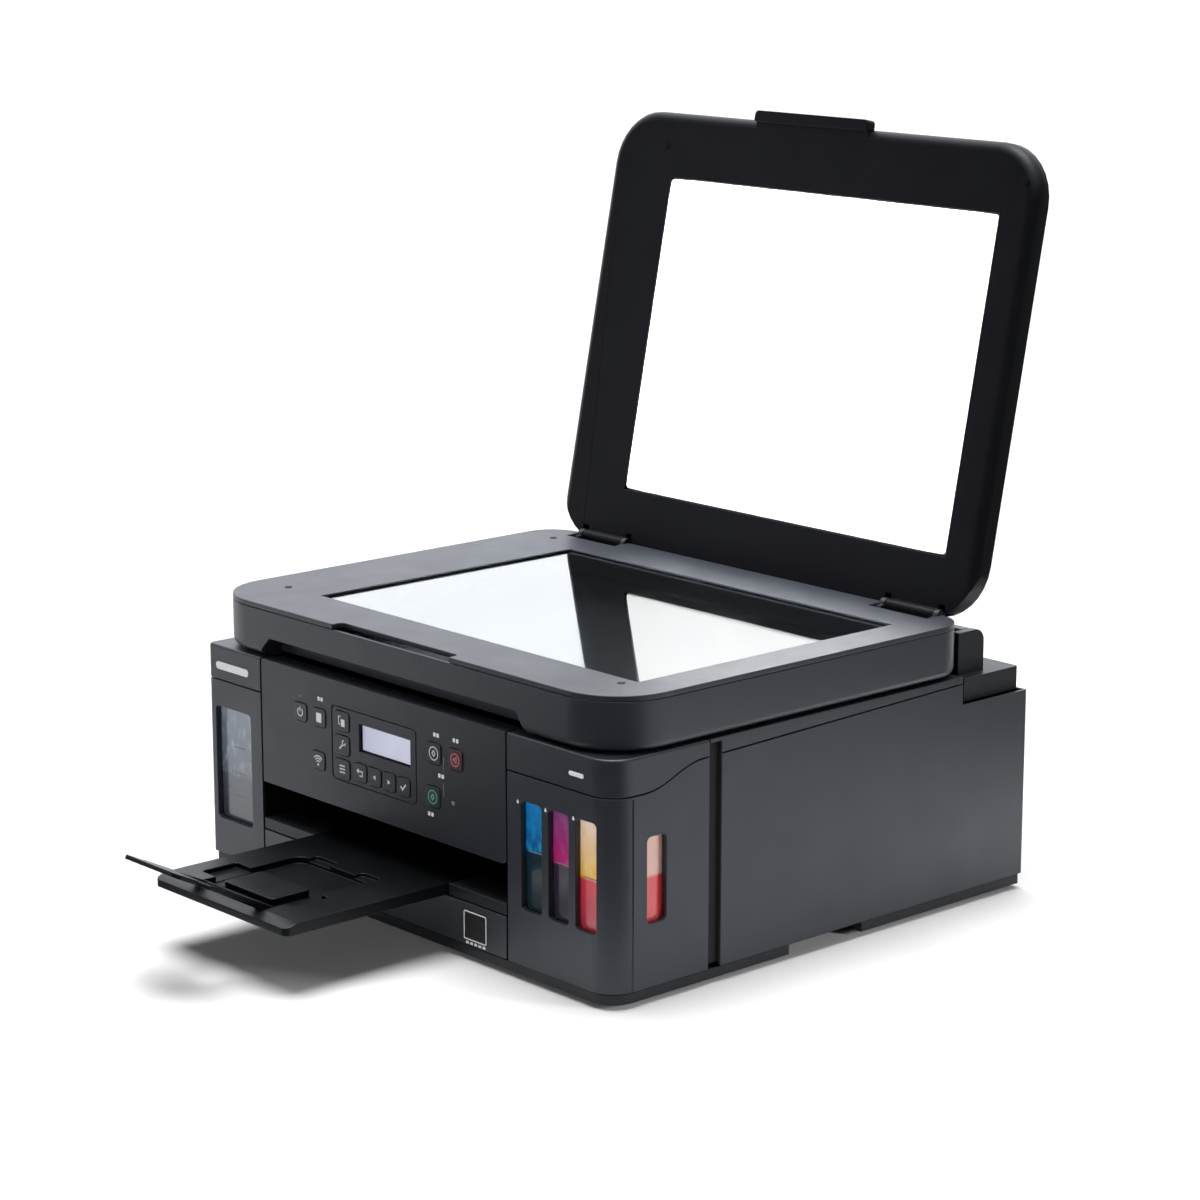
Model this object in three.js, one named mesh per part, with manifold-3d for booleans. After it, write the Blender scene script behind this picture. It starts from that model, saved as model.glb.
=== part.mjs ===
// Ink-tank inkjet printer with a flatbed scanner, a paper cassette and a rear paper tray.
// Millimetres, +Z up. The printer faces -Y, and its right side, seen from the front, is +X.
// Every piece is drawn in body coordinates: x = 0 and y = 0 in the middle of the body's plan, z = 0 on the
// table.
// At the end the whole group is moved so that the middle of its bounding box's base is the origin.
import * as THREE from "three";
import { mergeVertices } from "three/addons/utils/BufferGeometryUtils.js";
import Module from "manifold-3d";

const wasm = await Module();
wasm.setup();

// ---------------------------------------------------------------- driving dimensions
const GAP = 0.4; // clearance between neighbouring pieces
const WALL = 2.5; // moulded wall

const BODY_W = 403;
const BODY_D = 369;
const SHELL_BOTTOM = 10;
const BODY_TOP = 155;
const FRONT_R = 18; // the body's right vertical front edge
const LEFT_FRONT_R = 4;
const REAR_R = 2.5;
const REAR_LEDGE_Z = 136; // top of the shell behind the scanner
const BASE_INSET = 8; // of the base pan's upper part, inside the shell
const RIM_INSET = 2; // of its rim, under the shell's edge
const PAN_BOTTOM = 2.5;
const PAN_TOP = 13;

const BAY_LEFT = -142; // the bay between the left and right ink sections
const BAY_RIGHT = 106;
const PAPER_X = -18; // centre line of the paper path
const PAPER_W = 210;
const INK_SECTION_BACK = -104.8; // where the front covers end on the body's sides
const SIDE_COVER_FRONT = -94.6; // where the side covers begin, behind the vertical groove
const SIDE_COVER_X = 188; // where a side cover's wall meets the rear cover
const GROOVE_DEPTH = 3.8; // of the vertical groove between a front cover and a side cover
const FRAME_BACK = 121; // behind it the top of the shell steps down to the rear ledge
const SEAM_Z = 131; // between a front cover and the ink-tank cover above it
const SEAM_RISE = 13; // how far the right seam climbs along the side
const SEAM_GAP = 0.9; // the visible seams between shell pieces
const CREASE_Y = -167; // vertical line on the right front cover, behind its rounded corner

const PANEL_BOTTOM = 71;
const PANEL_DEPTH = 14;
const PANEL_PIVOT = { y: -178, z: 150 };
const BUTTON_STAND = 0.6; // how far a button stands proud of the panel

const LEDGE_TOP = 46; // floor of the output slot and top of the output tray
const LEDGE_BOTTOM = 38.6;
const TRAY = { x0: -88, x1: 50, front: -310, back: -146 };
const FLAP = { x0: -57, x1: 15, axisY: -293, axisZ: 44.1, length: 74, thick: 2.8, open: 153 };
const TRAY_HUMP = { x0: -46, x1: 5, y0: -287, y1: -257, top: 46.8 }; // stands inside the stowed flap

const SCANNER = { halfW: 202, front: -183, back: 126, bottom: 156.5, top: 191, frontR: 42, rearR: 25 };
const SCANNER_UNDER_R = 5;
const BEZEL_T = 3.7;
const GLASS_OPENING = { x0: -136.5, x1: 173.6, y0: -138, y1: 83 };
const SCANNER_PIVOT = { y: 131, z: 178 };

const LID = {
  halfW: 200, front: -182.2, back: 127.4, bottom: 191.5, thick: 13, r: 39, innerR: 8, openDeg: 101.4,
};
const LID_AXIS = { y: 125.3, z: 190 };
const SHEET = { x0: -136.5, x1: 170.3, y0: -135.8, y1: 86.7, thick: 8 };
const LID_HINGES = { left: [-172, -123], right: [126, 177] };

const REAR_BLOCK = { halfW: 197, y0: 126.6, y1: 179.5, top: 152 };
const REAR_COVER = { halfW: 183.6, y0: 128.4, y1: 153, top: 180.5 };

const FRAME = { bottom: 14, back: 150, sheet: 2.7, deckBottom: 41, deckTop: 44 };
const PICKUP = { y: 118, z: 51, shaftR: 2.5, rollR: 14, shaft: [-59, 23], roll: [-32, -4] };
const RAIL = { y0: 48, y1: 62, z0: 100, z1: 140, sheet: 1.6 };
const PLATEN = { front: -62, back: -2, bottom: 66, top: 74, ribs: 9, ribPitch: 27 };
const CARRIAGE = { half: 40, front: -22, back: 46.6, bottom: 88, top: 140 };
const BELT = { ends: [-128, 86], z: 118, front: 64, back: 70, innerR: 6.4, outerR: 7.6 };
const SUPPLY = { x0: -192, x1: -150, front: 96, back: 170, bottom: 14, top: 64 };
const BOARD = { x: 190, front: -60, back: 130, bottom: 30, top: 120, thick: 1.6 };
const PAPER_TUB = { half: 110.5, back: 132, bottom: 9.6, top: 35.6 };

const GEAR_MODULE = 2;
const GEAR_X = [-158, -152];
const FEED_AXIS = { y: 15, z: 72 };
const IDLER_AXIS = { y: -30, z: 72 };
const EJECT_AXIS = { y: -75, z: 72 };
const FEED_TEETH = 20;
const IDLER_TEETH = 25;

// ---------------------------------------------------------------- solids
const halfW = BODY_W / 2;
const halfD = BODY_D / 2;

// An outline with rounded corners; the radii run round from the low-x, low-y corner.
function roundedRect(x0, y0, x1, y1, radii = 0, steps = 6) {
  const corners = [[x0, y0, 1, 1], [x1, y0, -1, 1], [x1, y1, -1, -1], [x0, y1, 1, -1]];
  const points = [];
  corners.forEach(([x, y, sx, sy], i) => {
    const r = Array.isArray(radii) ? radii[i] : radii;
    const turns = r > 0 ? steps : 0;
    for (let k = 0; k <= turns; k++) {
      const angle = Math.PI * (1 + i / 2 + (turns ? k / turns / 2 : 0));
      const arc = r > 0 ? [Math.cos(angle) * r, Math.sin(angle) * r] : [0, 0];
      points.push(new THREE.Vector2(x + sx * r + arc[0], y + sy * r + arc[1]));
    }
  });
  return new THREE.Shape(points);
}

const outline = (points) => new THREE.Shape(points.map(([x, y]) => new THREE.Vector2(x, y)));

function solid(geometry) {
  geometry.deleteAttribute("normal");
  geometry.deleteAttribute("uv");
  const merged = mergeVertices(geometry, 1e-4);
  const vertProperties = merged.attributes.position.array;
  const triVerts = new Uint32Array(merged.index.array);
  return new wasm.Manifold(new wasm.Mesh({ numProp: 3, vertProperties, triVerts }));
}

function extruded(shape, depth) {
  return new THREE.ExtrudeGeometry(shape, { depth, bevelEnabled: false, curveSegments: 8 });
}

// The plane of the shape is XY, XZ or YZ, and it is extruded along the third axis.
function alongZ(shape, z0, z1) {
  return solid(extruded(shape, z1 - z0).translate(0, 0, z0));
}

function alongY(shape, y0, y1) {
  return solid(extruded(shape, y1 - y0).rotateX(Math.PI / 2).translate(0, y1, 0));
}

function alongX(shape, x0, x1) {
  const axes = new THREE.Matrix4().makeBasis(
    new THREE.Vector3(0, 1, 0),
    new THREE.Vector3(0, 0, 1),
    new THREE.Vector3(1, 0, 0),
  );
  return solid(extruded(shape, x1 - x0).applyMatrix4(axes).translate(x0, 0, 0));
}

function box(x0, y0, z0, x1, y1, z1) {
  const geometry = new THREE.BoxGeometry(x1 - x0, y1 - y0, z1 - z0);
  return solid(geometry.translate((x0 + x1) / 2, (y0 + y1) / 2, (z0 + z1) / 2));
}

// A box on the right side of the body, or its mirror image on the left.
function sideBox(side, x0, y0, z0, x1, y1, z1) {
  return side > 0 ? box(x0, y0, z0, x1, y1, z1) : box(-x1, y0, z0, -x0, y1, z1);
}

function rod(axis, centre, r, from, to, sides = 16) {
  const geometry = new THREE.CylinderGeometry(r, r, to - from, sides);
  const middle = (from + to) / 2;
  if (axis === "x") return solid(geometry.rotateZ(-Math.PI / 2).translate(middle, centre[0], centre[1]));
  if (axis === "y") return solid(geometry.translate(centre[0], middle, centre[1]));
  return solid(geometry.rotateX(Math.PI / 2).translate(centre[0], centre[1], middle));
}

const join = (first, ...rest) => rest.reduce((sum, piece) => sum.add(piece), first);
const cut = (first, ...rest) => rest.reduce((left, piece) => left.subtract(piece), first);

function geometryOf(manifold) {
  const { vertProperties, triVerts } = manifold.getMesh();
  const geometry = new THREE.BufferGeometry();
  geometry.setAttribute("position", new THREE.BufferAttribute(vertProperties, 3));
  geometry.setIndex(new THREE.BufferAttribute(triVerts, 1));
  return geometry;
}

// ---------------------------------------------------------------- materials
const finish = (color, roughness, metalness = 0) =>
  new THREE.MeshStandardMaterial({ color, roughness, metalness });
const MATERIALS = {
  shell: finish(0x2a2b2d, 0.55),
  panel: finish(0x232426, 0.45),
  lid: finish(0x141619, 0.5),
  inner: finish(0x18191b, 0.7),
  sheet: finish(0xf4f4f2, 0.8),
  glass: finish(0xb8c4c4, 0.05),
  steel: finish(0x9a9c9e, 0.35, 0.9),
  rubber: finish(0x111111, 0.9),
  key: finish(0x2e3032, 0.5),
  lcd: finish(0xc9cbe0, 0.2),
  gear: finish(0xd8d6cc, 0.6),
  board: finish(0x1f5a34, 0.6),
  inkBlack: finish(0x0c0c10, 0.2),
  inkCyan: finish(0x0b5f86, 0.2),
  inkMagenta: finish(0x8e1457, 0.2),
  inkYellow: finish(0xe0a01c, 0.2),
};

const printer = new THREE.Group();

function place(name, manifold, material, group = printer) {
  const mesh = new THREE.Mesh(geometryOf(manifold), MATERIALS[material]);
  mesh.name = name;
  group.add(mesh);
}

// ---------------------------------------------------------------- outer shell
const bodyOutline = (inset) => {
  const radii = [LEFT_FRONT_R, FRONT_R, REAR_R, REAR_R].map((r) => Math.max(r - inset, 0));
  const [x, y] = [halfW - inset, halfD - inset];
  return roundedRect(-x, -y, x, y, radii);
};

const shellWall = cut(
  alongZ(bodyOutline(0), SHELL_BOTTOM, BODY_TOP),
  alongZ(bodyOutline(WALL), SHELL_BOTTOM - 1, BODY_TOP + 1),
);
const topPlate = alongZ(bodyOutline(0), BODY_TOP - WALL, BODY_TOP);

// Everything below the seam between a front cover and its ink-tank cover, seen from the side.
function belowSeam(rise, lift, x0, x1) {
  const z = SEAM_Z + lift;
  const shape = new THREE.Shape();
  shape.moveTo(-halfD - 2, 0);
  shape.lineTo(-90, 0);
  shape.lineTo(-90, z + rise);
  shape.lineTo(-107, z + rise);
  if (rise) shape.bezierCurveTo(-128, z + rise, -138, z, -157, z);
  shape.lineTo(-halfD - 2, z);
  return alongX(shape, x0, x1);
}

function inkSection(side) {
  const inner = side > 0 ? BAY_RIGHT + GAP + 1 : BAY_LEFT - GAP - 0.6;
  const outer = side * (halfW + 1);
  const [x0, x1] = side > 0 ? [inner, outer] : [outer, inner];
  const region = box(x0, -halfD - 1, 0, x1, INK_SECTION_BACK, BODY_TOP + 1);
  const rise = side > 0 ? SEAM_RISE : 0;
  const wall = shellWall.intersect(region);
  const frontCover = wall.intersect(belowSeam(rise, 0, x0 - 1, x1 + 1));
  const cover = join(cut(wall, belowSeam(rise, SEAM_GAP, x0 - 1, x1 + 1)), topPlate.intersect(region));
  return { frontCover, cover };
}

// The ink windows are slits with a collar that reaches in to the tank behind.
const COLOUR_WINDOWS = [[120, 139], [145, 163.5], [169.5, 187.5]];
const COLLAR = { wall: 1.2, reach: 1.6 };

function frontCovers() {
  const window = (x0, x1, z0, z1, grow, depth) => {
    const shape = roundedRect(x0 - grow, z0 - grow, x1 + grow, z1 + grow, 3 + grow, 3);
    return alongY(shape, grow ? -halfD + WALL / 2 : -halfD - 1, -halfD + depth);
  };
  const rightWindows = (grow, depth) =>
    COLOUR_WINDOWS.map(([x0, x1]) => window(x0, x1, 46, 115, grow, depth));
  const collarDepth = WALL + COLLAR.reach;
  const inside = alongZ(bodyOutline(WALL / 4), SHELL_BOTTOM, SEAM_Z - 1);
  const right = inkSection(1);
  const sideShape = (grow) => roundedRect(-155.6 - grow, 50 - grow, -140 + grow, 104 + grow, 3 + grow, 3);
  const sideCollar = alongX(sideShape(COLLAR.wall), halfW - collarDepth, halfW - WALL / 2);
  const sideWindow = alongX(sideShape(0), halfW - 6, halfW + 1);
  const rightCollars = join(sideCollar, ...rightWindows(COLLAR.wall, collarDepth)).intersect(inside);
  const crease = box(halfW - 0.7, CREASE_Y - 0.5, SHELL_BOTTOM - 1, halfW + 1, CREASE_Y + 0.5, SEAM_Z - 1.5);
  const rightOpenings = [...rightWindows(0, FRONT_R), sideWindow, crease];
  place("right_front_cover", cut(join(right.frontCover, rightCollars), ...rightOpenings), "shell");
  place("right_ink_cover", right.cover, "shell");
  const left = inkSection(-1);
  const leftWindow = (grow, depth) => window(-194, -155, 35, 113, grow, depth);
  const leftCollar = leftWindow(COLLAR.wall, collarDepth).intersect(inside);
  place("left_front_cover", cut(join(left.frontCover, leftCollar), leftWindow(0, FRONT_R)), "shell");
  place("left_ink_cover", left.cover, "shell");
}

function sideCovers() {
  const seamFront = 144;
  const seamBack = 150;
  const reach = SIDE_COVER_FRONT - 10;
  const topLine = (lift) => outline([
    [reach, 0],
    [halfD + 1, 0],
    [halfD + 1, REAR_LEDGE_Z],
    [FRAME_BACK, REAR_LEDGE_Z],
    [FRAME_BACK, seamBack + lift],
    [reach, seamFront + lift],
  ]);
  // The floor of the groove in front of a side cover, and the cover's edge returned to meet it.
  const grooveLining = (side, z0, z1) => {
    const inner = halfW - GROOVE_DEPTH - 2.2;
    const back = SIDE_COVER_FRONT + 3;
    return join(
      sideBox(side, inner, INK_SECTION_BACK + GAP, z0, halfW - GROOVE_DEPTH, back, z1),
      sideBox(side, inner, SIDE_COVER_FRONT, z0, halfW - WALL + 0.5, back, z1),
    );
  };
  for (const side of [1, -1]) {
    const region = sideBox(side, SIDE_COVER_X, SIDE_COVER_FRONT, 0, halfW + 1, halfD + 1, BODY_TOP + 1);
    const wall = shellWall.intersect(region).intersect(alongX(topLine(0), -halfW - 1, halfW + 1));
    const name = side > 0 ? "right_side_cover" : "left_side_cover";
    place(name, join(wall, grooveLining(side, SHELL_BOTTOM + 2, seamFront)), "shell");
  }

  // The frame round the top opening, whose skirts finish the sides above the long seam.
  const deckRegion = box(-halfW - 1, INK_SECTION_BACK + GAP, 0, halfW + 1, FRAME_BACK - GAP, BODY_TOP + 1);
  const deck = cut(topPlate.intersect(deckRegion), box(-150, -80, 140, 150, 95, 160));
  const skirts = cut(
    shellWall.intersect(box(-halfW - 1, SIDE_COVER_FRONT, 0, halfW + 1, FRAME_BACK - GAP, BODY_TOP + 1)),
    alongX(topLine(SEAM_GAP), -halfW - 1, halfW + 1),
  );
  const linings = [1, -1].map((side) => grooveLining(side, seamFront + 1, BODY_TOP - 1));
  place("top_frame", join(deck, skirts, ...linings), "shell");
}

function rearCover() {
  const edge = SIDE_COVER_X - GAP;
  const face = halfD - WALL - 1;
  const wall = shellWall.intersect(box(-edge, 150, 0, edge, halfD + 1, REAR_LEDGE_Z));
  const ledge = box(-edge, 168, REAR_LEDGE_Z - WALL, edge, halfD - 1, REAR_LEDGE_Z);
  const through = (x0, z0, x1, z1) => box(x0, face, z0, x1, halfD + 1, z1);
  const inlet = through(-184, 24, -158, 46);
  const vents = Array.from({ length: 12 }, (_, i) => through(-146 + i * 8, 88, -142 + i * 8, 116));
  const usbPort = through(150, 60, 162.4, 71.4);
  const networkPort = through(130, 60, 144, 72);
  place("rear_cover", cut(join(wall, ledge), inlet, ...vents, usbPort, networkPort), "shell");
}

function basePan() {
  const [x, y] = [halfW - BASE_INSET, halfD - BASE_INSET];
  const rimTop = SHELL_BOTTOM - 0.8;
  const rim = alongZ(bodyOutline(RIM_INSET), PAN_BOTTOM, rimTop);
  const upper = alongZ(roundedRect(-x, -y, x, y, 14), rimTop - 1, PAN_TOP);
  const inside = roundedRect(-x + WALL, -y + WALL, x - WALL, y - WALL, 11);
  const tub = cut(join(rim, upper), alongZ(inside, PAN_BOTTOM + WALL, PAN_TOP + 1));
  const mouth = box(BAY_LEFT - 6, -halfD, 9, BAY_RIGHT + 6, -halfD + 20, PAN_TOP + 1);
  const grip = (side) => sideBox(side, x - 7, -33, PAN_BOTTOM - 1, halfW, 32, SHELL_BOTTOM);
  place("base_pan", cut(tub, mouth, grip(1), grip(-1)), "inner");
  const footX = 165;
  const footY = 150;
  for (const [name, sx, sy] of [
    ["front_left", -1, -1], ["front_right", 1, -1], ["rear_left", -1, 1], ["rear_right", 1, 1],
  ]) {
    place(`foot_${name}`, rod("z", [sx * footX, sy * footY], 9, 0, PAN_BOTTOM - GAP / 2, 20), "rubber");
  }
}

// ---------------------------------------------------------------- operation panel
const BUTTONS = [
  { name: "power", x: -99, z: 127, w: 13.5, h: 12 },
  { name: "info", x: -79, z: 127, w: 13.5, h: 12 },
  { name: "wireless", x: -80.5, z: 98, w: 13.5, h: 12 },
  { name: "copy", x: -55, z: 129.2, w: 15, h: 13 },
  { name: "setup", x: -55, z: 113.4, w: 15, h: 13 },
  { name: "menu", x: -55, z: 97.6, w: 15, h: 13 },
  { name: "back", x: -36.6, z: 99, w: 13, h: 12 },
  { name: "minus", x: -21.8, z: 99, w: 13, h: 12 },
  { name: "plus", x: -7.2, z: 99, w: 13, h: 12 },
  { name: "ok", x: 7.4, z: 99, w: 13, h: 12 },
  { name: "black_start", x: 38, z: 127.4, w: 13.5, h: 13.5 },
  { name: "stop", x: 58.8, z: 127.4, w: 13.5, h: 13.5 },
  { name: "colour_start", x: 36.6, z: 99, w: 13.5, h: 13.5 },
];
const LCD = { x0: -38, x1: 14, z0: 112.6, z1: 131, depth: 2.2 };
const KEY_GROOVE = { x0: -65.5, x1: 19.5, z0: 90, z1: 138, width: 0.8, depth: 0.9 };

function operationPanel() {
  const front = -halfD;
  const [x0, x1] = [BAY_LEFT + GAP, BAY_RIGHT];
  const [z0, z1] = [PANEL_BOTTOM, BODY_TOP];
  const body = alongY(roundedRect(x0, z0, x1, z1, [0, 4, 1.5, 1.5], 3), front, front + PANEL_DEPTH);
  const hollow = box(x0 + 2, front + 3, z0 + 2, x1 - 2, front + PANEL_DEPTH + 1, z1 - 2);
  const holes = BUTTONS.map(({ x, z, w, h }) => {
    const [a, b] = [w / 2 + 0.3, h / 2 + 0.3];
    return alongY(roundedRect(x - a, z - b, x + a, z + b, 2.8, 3), front - 1, front + 4);
  });
  const lcdHole = box(LCD.x0, front - 1, LCD.z0, LCD.x1, front + 4, LCD.z1);
  const g = KEY_GROOVE;
  const grooveRect = (grow) => roundedRect(g.x0 - grow, g.z0 - grow, g.x1 + grow, g.z1 + grow, 3, 3);
  const groove = cut(
    alongY(grooveRect(g.width), front - 1, front + g.depth),
    alongY(grooveRect(0), front - 2, front + g.depth + 1),
  );
  const pivot = [PANEL_PIVOT.y, PANEL_PIVOT.z];
  const pins = [rod("x", pivot, 2.2, x0 - 3, x0 + 3, 12), rod("x", pivot, 2.2, x1 - 3, x1 + 3, 12)];
  place("operation_panel", join(cut(body, hollow, ...holes, lcdHole, groove), ...pins), "panel");
  const lcdGlass = box(LCD.x0 + 0.3, front + LCD.depth, LCD.z0 + 0.3, LCD.x1 - 0.3, front + 4, LCD.z1 - 0.3);
  const lcdBody = box(LCD.x0 - 3, front + 3.3, LCD.z0 - 3, LCD.x1 + 3, front + 8, LCD.z1 + 3);
  place("lcd_module", join(lcdGlass, lcdBody), "lcd");
  for (const { name, x, z, w, h } of BUTTONS) {
    const key = roundedRect(x - w / 2, z - h / 2, x + w / 2, z + h / 2, 2.5, 3);
    place(`button_${name}`, alongY(key, front - BUTTON_STAND, front + 3.6), "key");
  }
}

// ---------------------------------------------------------------- ink tanks
function inkTanks() {
  const inset = WALL + COLLAR.reach + GAP;
  const front = -halfD + inset;
  const outerX = halfW - inset;
  const r = FRONT_R - inset;
  const tanks = [
    { name: "black", x0: -outerX, x1: -150.5, radii: 2, material: "inkBlack" },
    { name: "cyan", x0: 114, x1: 141.7, radii: 2, material: "inkCyan" },
    { name: "magenta", x0: 142.8, x1: 166, radii: 2, material: "inkMagenta" },
    { name: "yellow", x0: 167, x1: outerX, radii: [2, r, 2, 2], material: "inkYellow" },
  ];
  for (const { name, x0, x1, radii, material } of tanks) {
    const vessel = alongZ(roundedRect(x0, front, x1, -112, radii), 22, 127);
    const filler = rod("z", [(x0 + x1) / 2, -150], 7, 126, 139, 16);
    place(`ink_tank_${name}`, join(vessel, filler), material);
  }
}

// ---------------------------------------------------------------- chassis and print engine
function mainFrame() {
  const { bottom, back, sheet, deckBottom, deckTop } = FRAME;
  const [leftFace, rightFace] = [BAY_LEFT - 1.6, BAY_RIGHT + 1.6];
  const walls = [[leftFace - sheet, leftFace], [rightFace, rightFace + sheet]];
  const front = -halfD + WALL + GAP;
  const across = [BAY_LEFT - 8, BAY_RIGHT + 14];
  const pivotHole = rod("x", [PANEL_PIVOT.y, PANEL_PIVOT.z], 2.6, ...across, 12);
  const journalHoles = [FEED_AXIS, EJECT_AXIS].map(({ y, z }) => rod("x", [y, z], 3.4, ...across, 12));
  const top = BODY_TOP - WALL - GAP;
  const ledge = REAR_LEDGE_Z - GAP;
  const stepBack = FRAME_BACK + 1;
  const profile = outline([
    [front, bottom], [back, bottom], [back, ledge], [stepBack, ledge], [stepBack, top], [front, top],
  ]);
  const sides = walls.map(([x0, x1]) => cut(alongX(profile, x0, x1), pivotHole, ...journalHoles));
  const [left, right] = [leftFace - 0.5, rightFace + 0.5];
  const rollWell = box(-48, PICKUP.y - 18, deckBottom - 1, 12, PICKUP.y + 19, deckTop + 1);
  const deck = cut(box(left, -8, deckBottom, right, back, deckTop), rollWell);
  const rearWall = box(left, back - 3, deckTop - 1, right, back, 126);
  const idlerStud = rod("x", [IDLER_AXIS.y, IDLER_AXIS.z], 3, GEAR_X[0] - 2, walls[0][0] + 1, 12);
  const bearing = (x0, x1) => cut(
    box(x0, PICKUP.y - 6, deckTop - 1, x1, PICKUP.y + 6, PICKUP.z + 9),
    rod("x", [PICKUP.y, PICKUP.z], PICKUP.shaftR + GAP, x0 - 1, x1 + 1, 12),
  );
  const bearings = [bearing(-60, -56), bearing(20, 24)];
  place("main_frame", join(...sides, deck, rearWall, idlerStud, ...bearings), "inner");
}

// Turning a gear by half a tooth puts its gaps opposite the teeth of the one before it.
function gear(axis, teeth, turn = 0, boreR = 0) {
  const pitchR = GEAR_MODULE * teeth / 2;
  const [rootR, tipR] = [pitchR - 2.4, pitchR + 1.6];
  const pitch = 2 * Math.PI / teeth;
  const points = [];
  for (let i = 0; i < teeth; i++) {
    for (const [offset, r] of [[-0.27, rootR], [-0.12, tipR], [0.12, tipR], [0.27, rootR]]) {
      const angle = (i + turn + offset) * pitch;
      points.push([axis.y + r * Math.cos(angle), axis.z + r * Math.sin(angle)]);
    }
  }
  const disc = alongX(outline(points), ...GEAR_X);
  return boreR ? cut(disc, rod("x", [axis.y, axis.z], boreR, GEAR_X[0] - 1, GEAR_X[1] + 1, 12)) : disc;
}

function rollers() {
  const geared = (axis, r) => {
    const centre = [axis.y, axis.z];
    const journals = rod("x", centre, 3, GEAR_X[0] - 2, BAY_RIGHT + 6, 12);
    return join(rod("x", centre, r, BAY_LEFT + 1, BAY_RIGHT - 1, 16), journals);
  };
  place("feed_roller", join(geared(FEED_AXIS, 7), gear(FEED_AXIS, FEED_TEETH)), "rubber");
  place("idler_gear", gear(IDLER_AXIS, IDLER_TEETH, 0.5, 3.4), "gear");
  place("eject_roller", join(geared(EJECT_AXIS, 5), gear(EJECT_AXIS, FEED_TEETH, 0.5)), "rubber");
  const pickupCentre = [PICKUP.y, PICKUP.z];
  const pickup = join(
    rod("x", pickupCentre, PICKUP.shaftR, ...PICKUP.shaft, 12),
    rod("x", pickupCentre, PICKUP.rollR, ...PICKUP.roll, 20),
  );
  place("pickup_roller", pickup, "rubber");
}

function printEngine() {
  const { y0, y1, z0, z1, sheet } = RAIL;
  const rail = outline([
    [y0, z0], [y1, z0], [y1, z1], [y0, z1],
    [y0, z1 - sheet], [y1 - sheet, z1 - sheet], [y1 - sheet, z0 + sheet], [y0, z0 + sheet],
  ]);
  const [x0, x1] = [BAY_LEFT - 1.2, BAY_RIGHT + 1.2];
  place("carriage_rail", alongX(rail, x0, x1), "steel");

  const p = PLATEN;
  const ribs = Array.from({ length: p.ribs }, (_, i) => {
    const rib = -128 + i * p.ribPitch;
    return box(rib, p.front + 2, p.top - 1, rib + 3, p.back - 2, p.top + 2);
  });
  const platen = box(x0 + 2, p.front, p.bottom, x1 - 2, p.back, p.top);
  place("paper_platen", join(platen, ...ribs), "inner");

  // The carriage hangs on the rail: a slider in its channel, and a hook over its top to the belt behind.
  const c = CARRIAGE;
  const bodyProfile = outline([
    [c.front, c.bottom], [c.back, c.bottom], [c.back, c.top], [2, c.top], [c.front, c.top - 16],
  ]);
  const centred = (half, from, bottom, to, top) => box(PAPER_X - half, from, bottom, PAPER_X + half, to, top);
  const body = alongX(bodyProfile, PAPER_X - c.half, PAPER_X + c.half);
  const head = centred(30, -10, c.bottom - 7.5, 30, c.bottom + 1);
  const slider = centred(38, c.back - 0.6, 108, RAIL.y0 + 9, 128);
  const hookTop = RAIL.z1 + 4.5;
  const clampBack = BELT.back + 1;
  const arm = centred(10, c.back - 2.6, c.top - 6, c.back, hookTop);
  const bridge = centred(10, c.back - 1.6, RAIL.z1 + 1, clampBack, hookTop);
  const clamp = centred(10, BELT.front - 0.5, BELT.z + BELT.outerR + 1, clampBack, hookTop);
  place("print_carriage", join(body, head, slider, arm, bridge, clamp), "panel");

  const loop = (r, from, to) => {
    const [left, right] = BELT.ends;
    return alongY(roundedRect(left - r, BELT.z - r, right + r, BELT.z + r, r, 6), from, to);
  };
  const belt = cut(loop(BELT.outerR, BELT.front, BELT.back), loop(BELT.innerR, BELT.front - 1, clampBack));
  place("carriage_belt", belt, "rubber");
  const shaft = [BELT.ends[1], BELT.z];
  const motor = join(
    rod("y", shaft, BELT.innerR - 0.6, BELT.front - 1, BELT.back + 2, 16),
    rod("y", shaft, 15, BELT.back + 1.5, 104, 20),
  );
  place("carriage_motor", motor, "steel");
}

function electronics() {
  const u = SUPPLY;
  const supply = box(u.x0, u.front, u.bottom, u.x1, u.back, u.top);
  const inletBack = halfD - 1.1;
  const inlet = box(u.x0 + 10, u.back - 1, 26, u.x1 - 10, inletBack, 44);
  const socket = box(u.x0 + 13, inletBack - 9.4, 29, u.x1 - 13, inletBack + 1, 41);
  place("power_supply", cut(join(supply, inlet), socket), "inner");

  const b = BOARD;
  const board = box(b.x, b.front, b.bottom, b.x + b.thick, b.back, b.top);
  const chips = [[-40, 60, 20], [10, 90, 16], [60, 50, 24], [95, 95, 18]].map(([y, z, size]) =>
    box(b.x - 6, y, z, b.x + 0.4, y + size, z + size * 0.7));
  place("main_board", join(board, ...chips), "board");
}

// ---------------------------------------------------------------- paper handling
function cassette() {
  const front = -halfD;
  const [left, right] = [BAY_LEFT + GAP, BAY_RIGHT - 0.2];
  const faceOutline = roundedRect(left, SHELL_BOTTOM + 0.3, right, LEDGE_BOTTOM - SEAM_GAP, 1, 2);
  const face = alongY(faceOutline, front, front + 3);
  const { half, back, bottom, top } = PAPER_TUB;
  const [x0, x1] = [PAPER_X - half, PAPER_X + half];
  const tub = cut(
    box(x0, front + 2, bottom, x1, back, top),
    box(x0 + WALL, front + 6, bottom + WALL - 0.1, x1 - WALL, back - WALL, top + 4),
  );
  place("cassette", join(face, tub), "inner");
}

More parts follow.
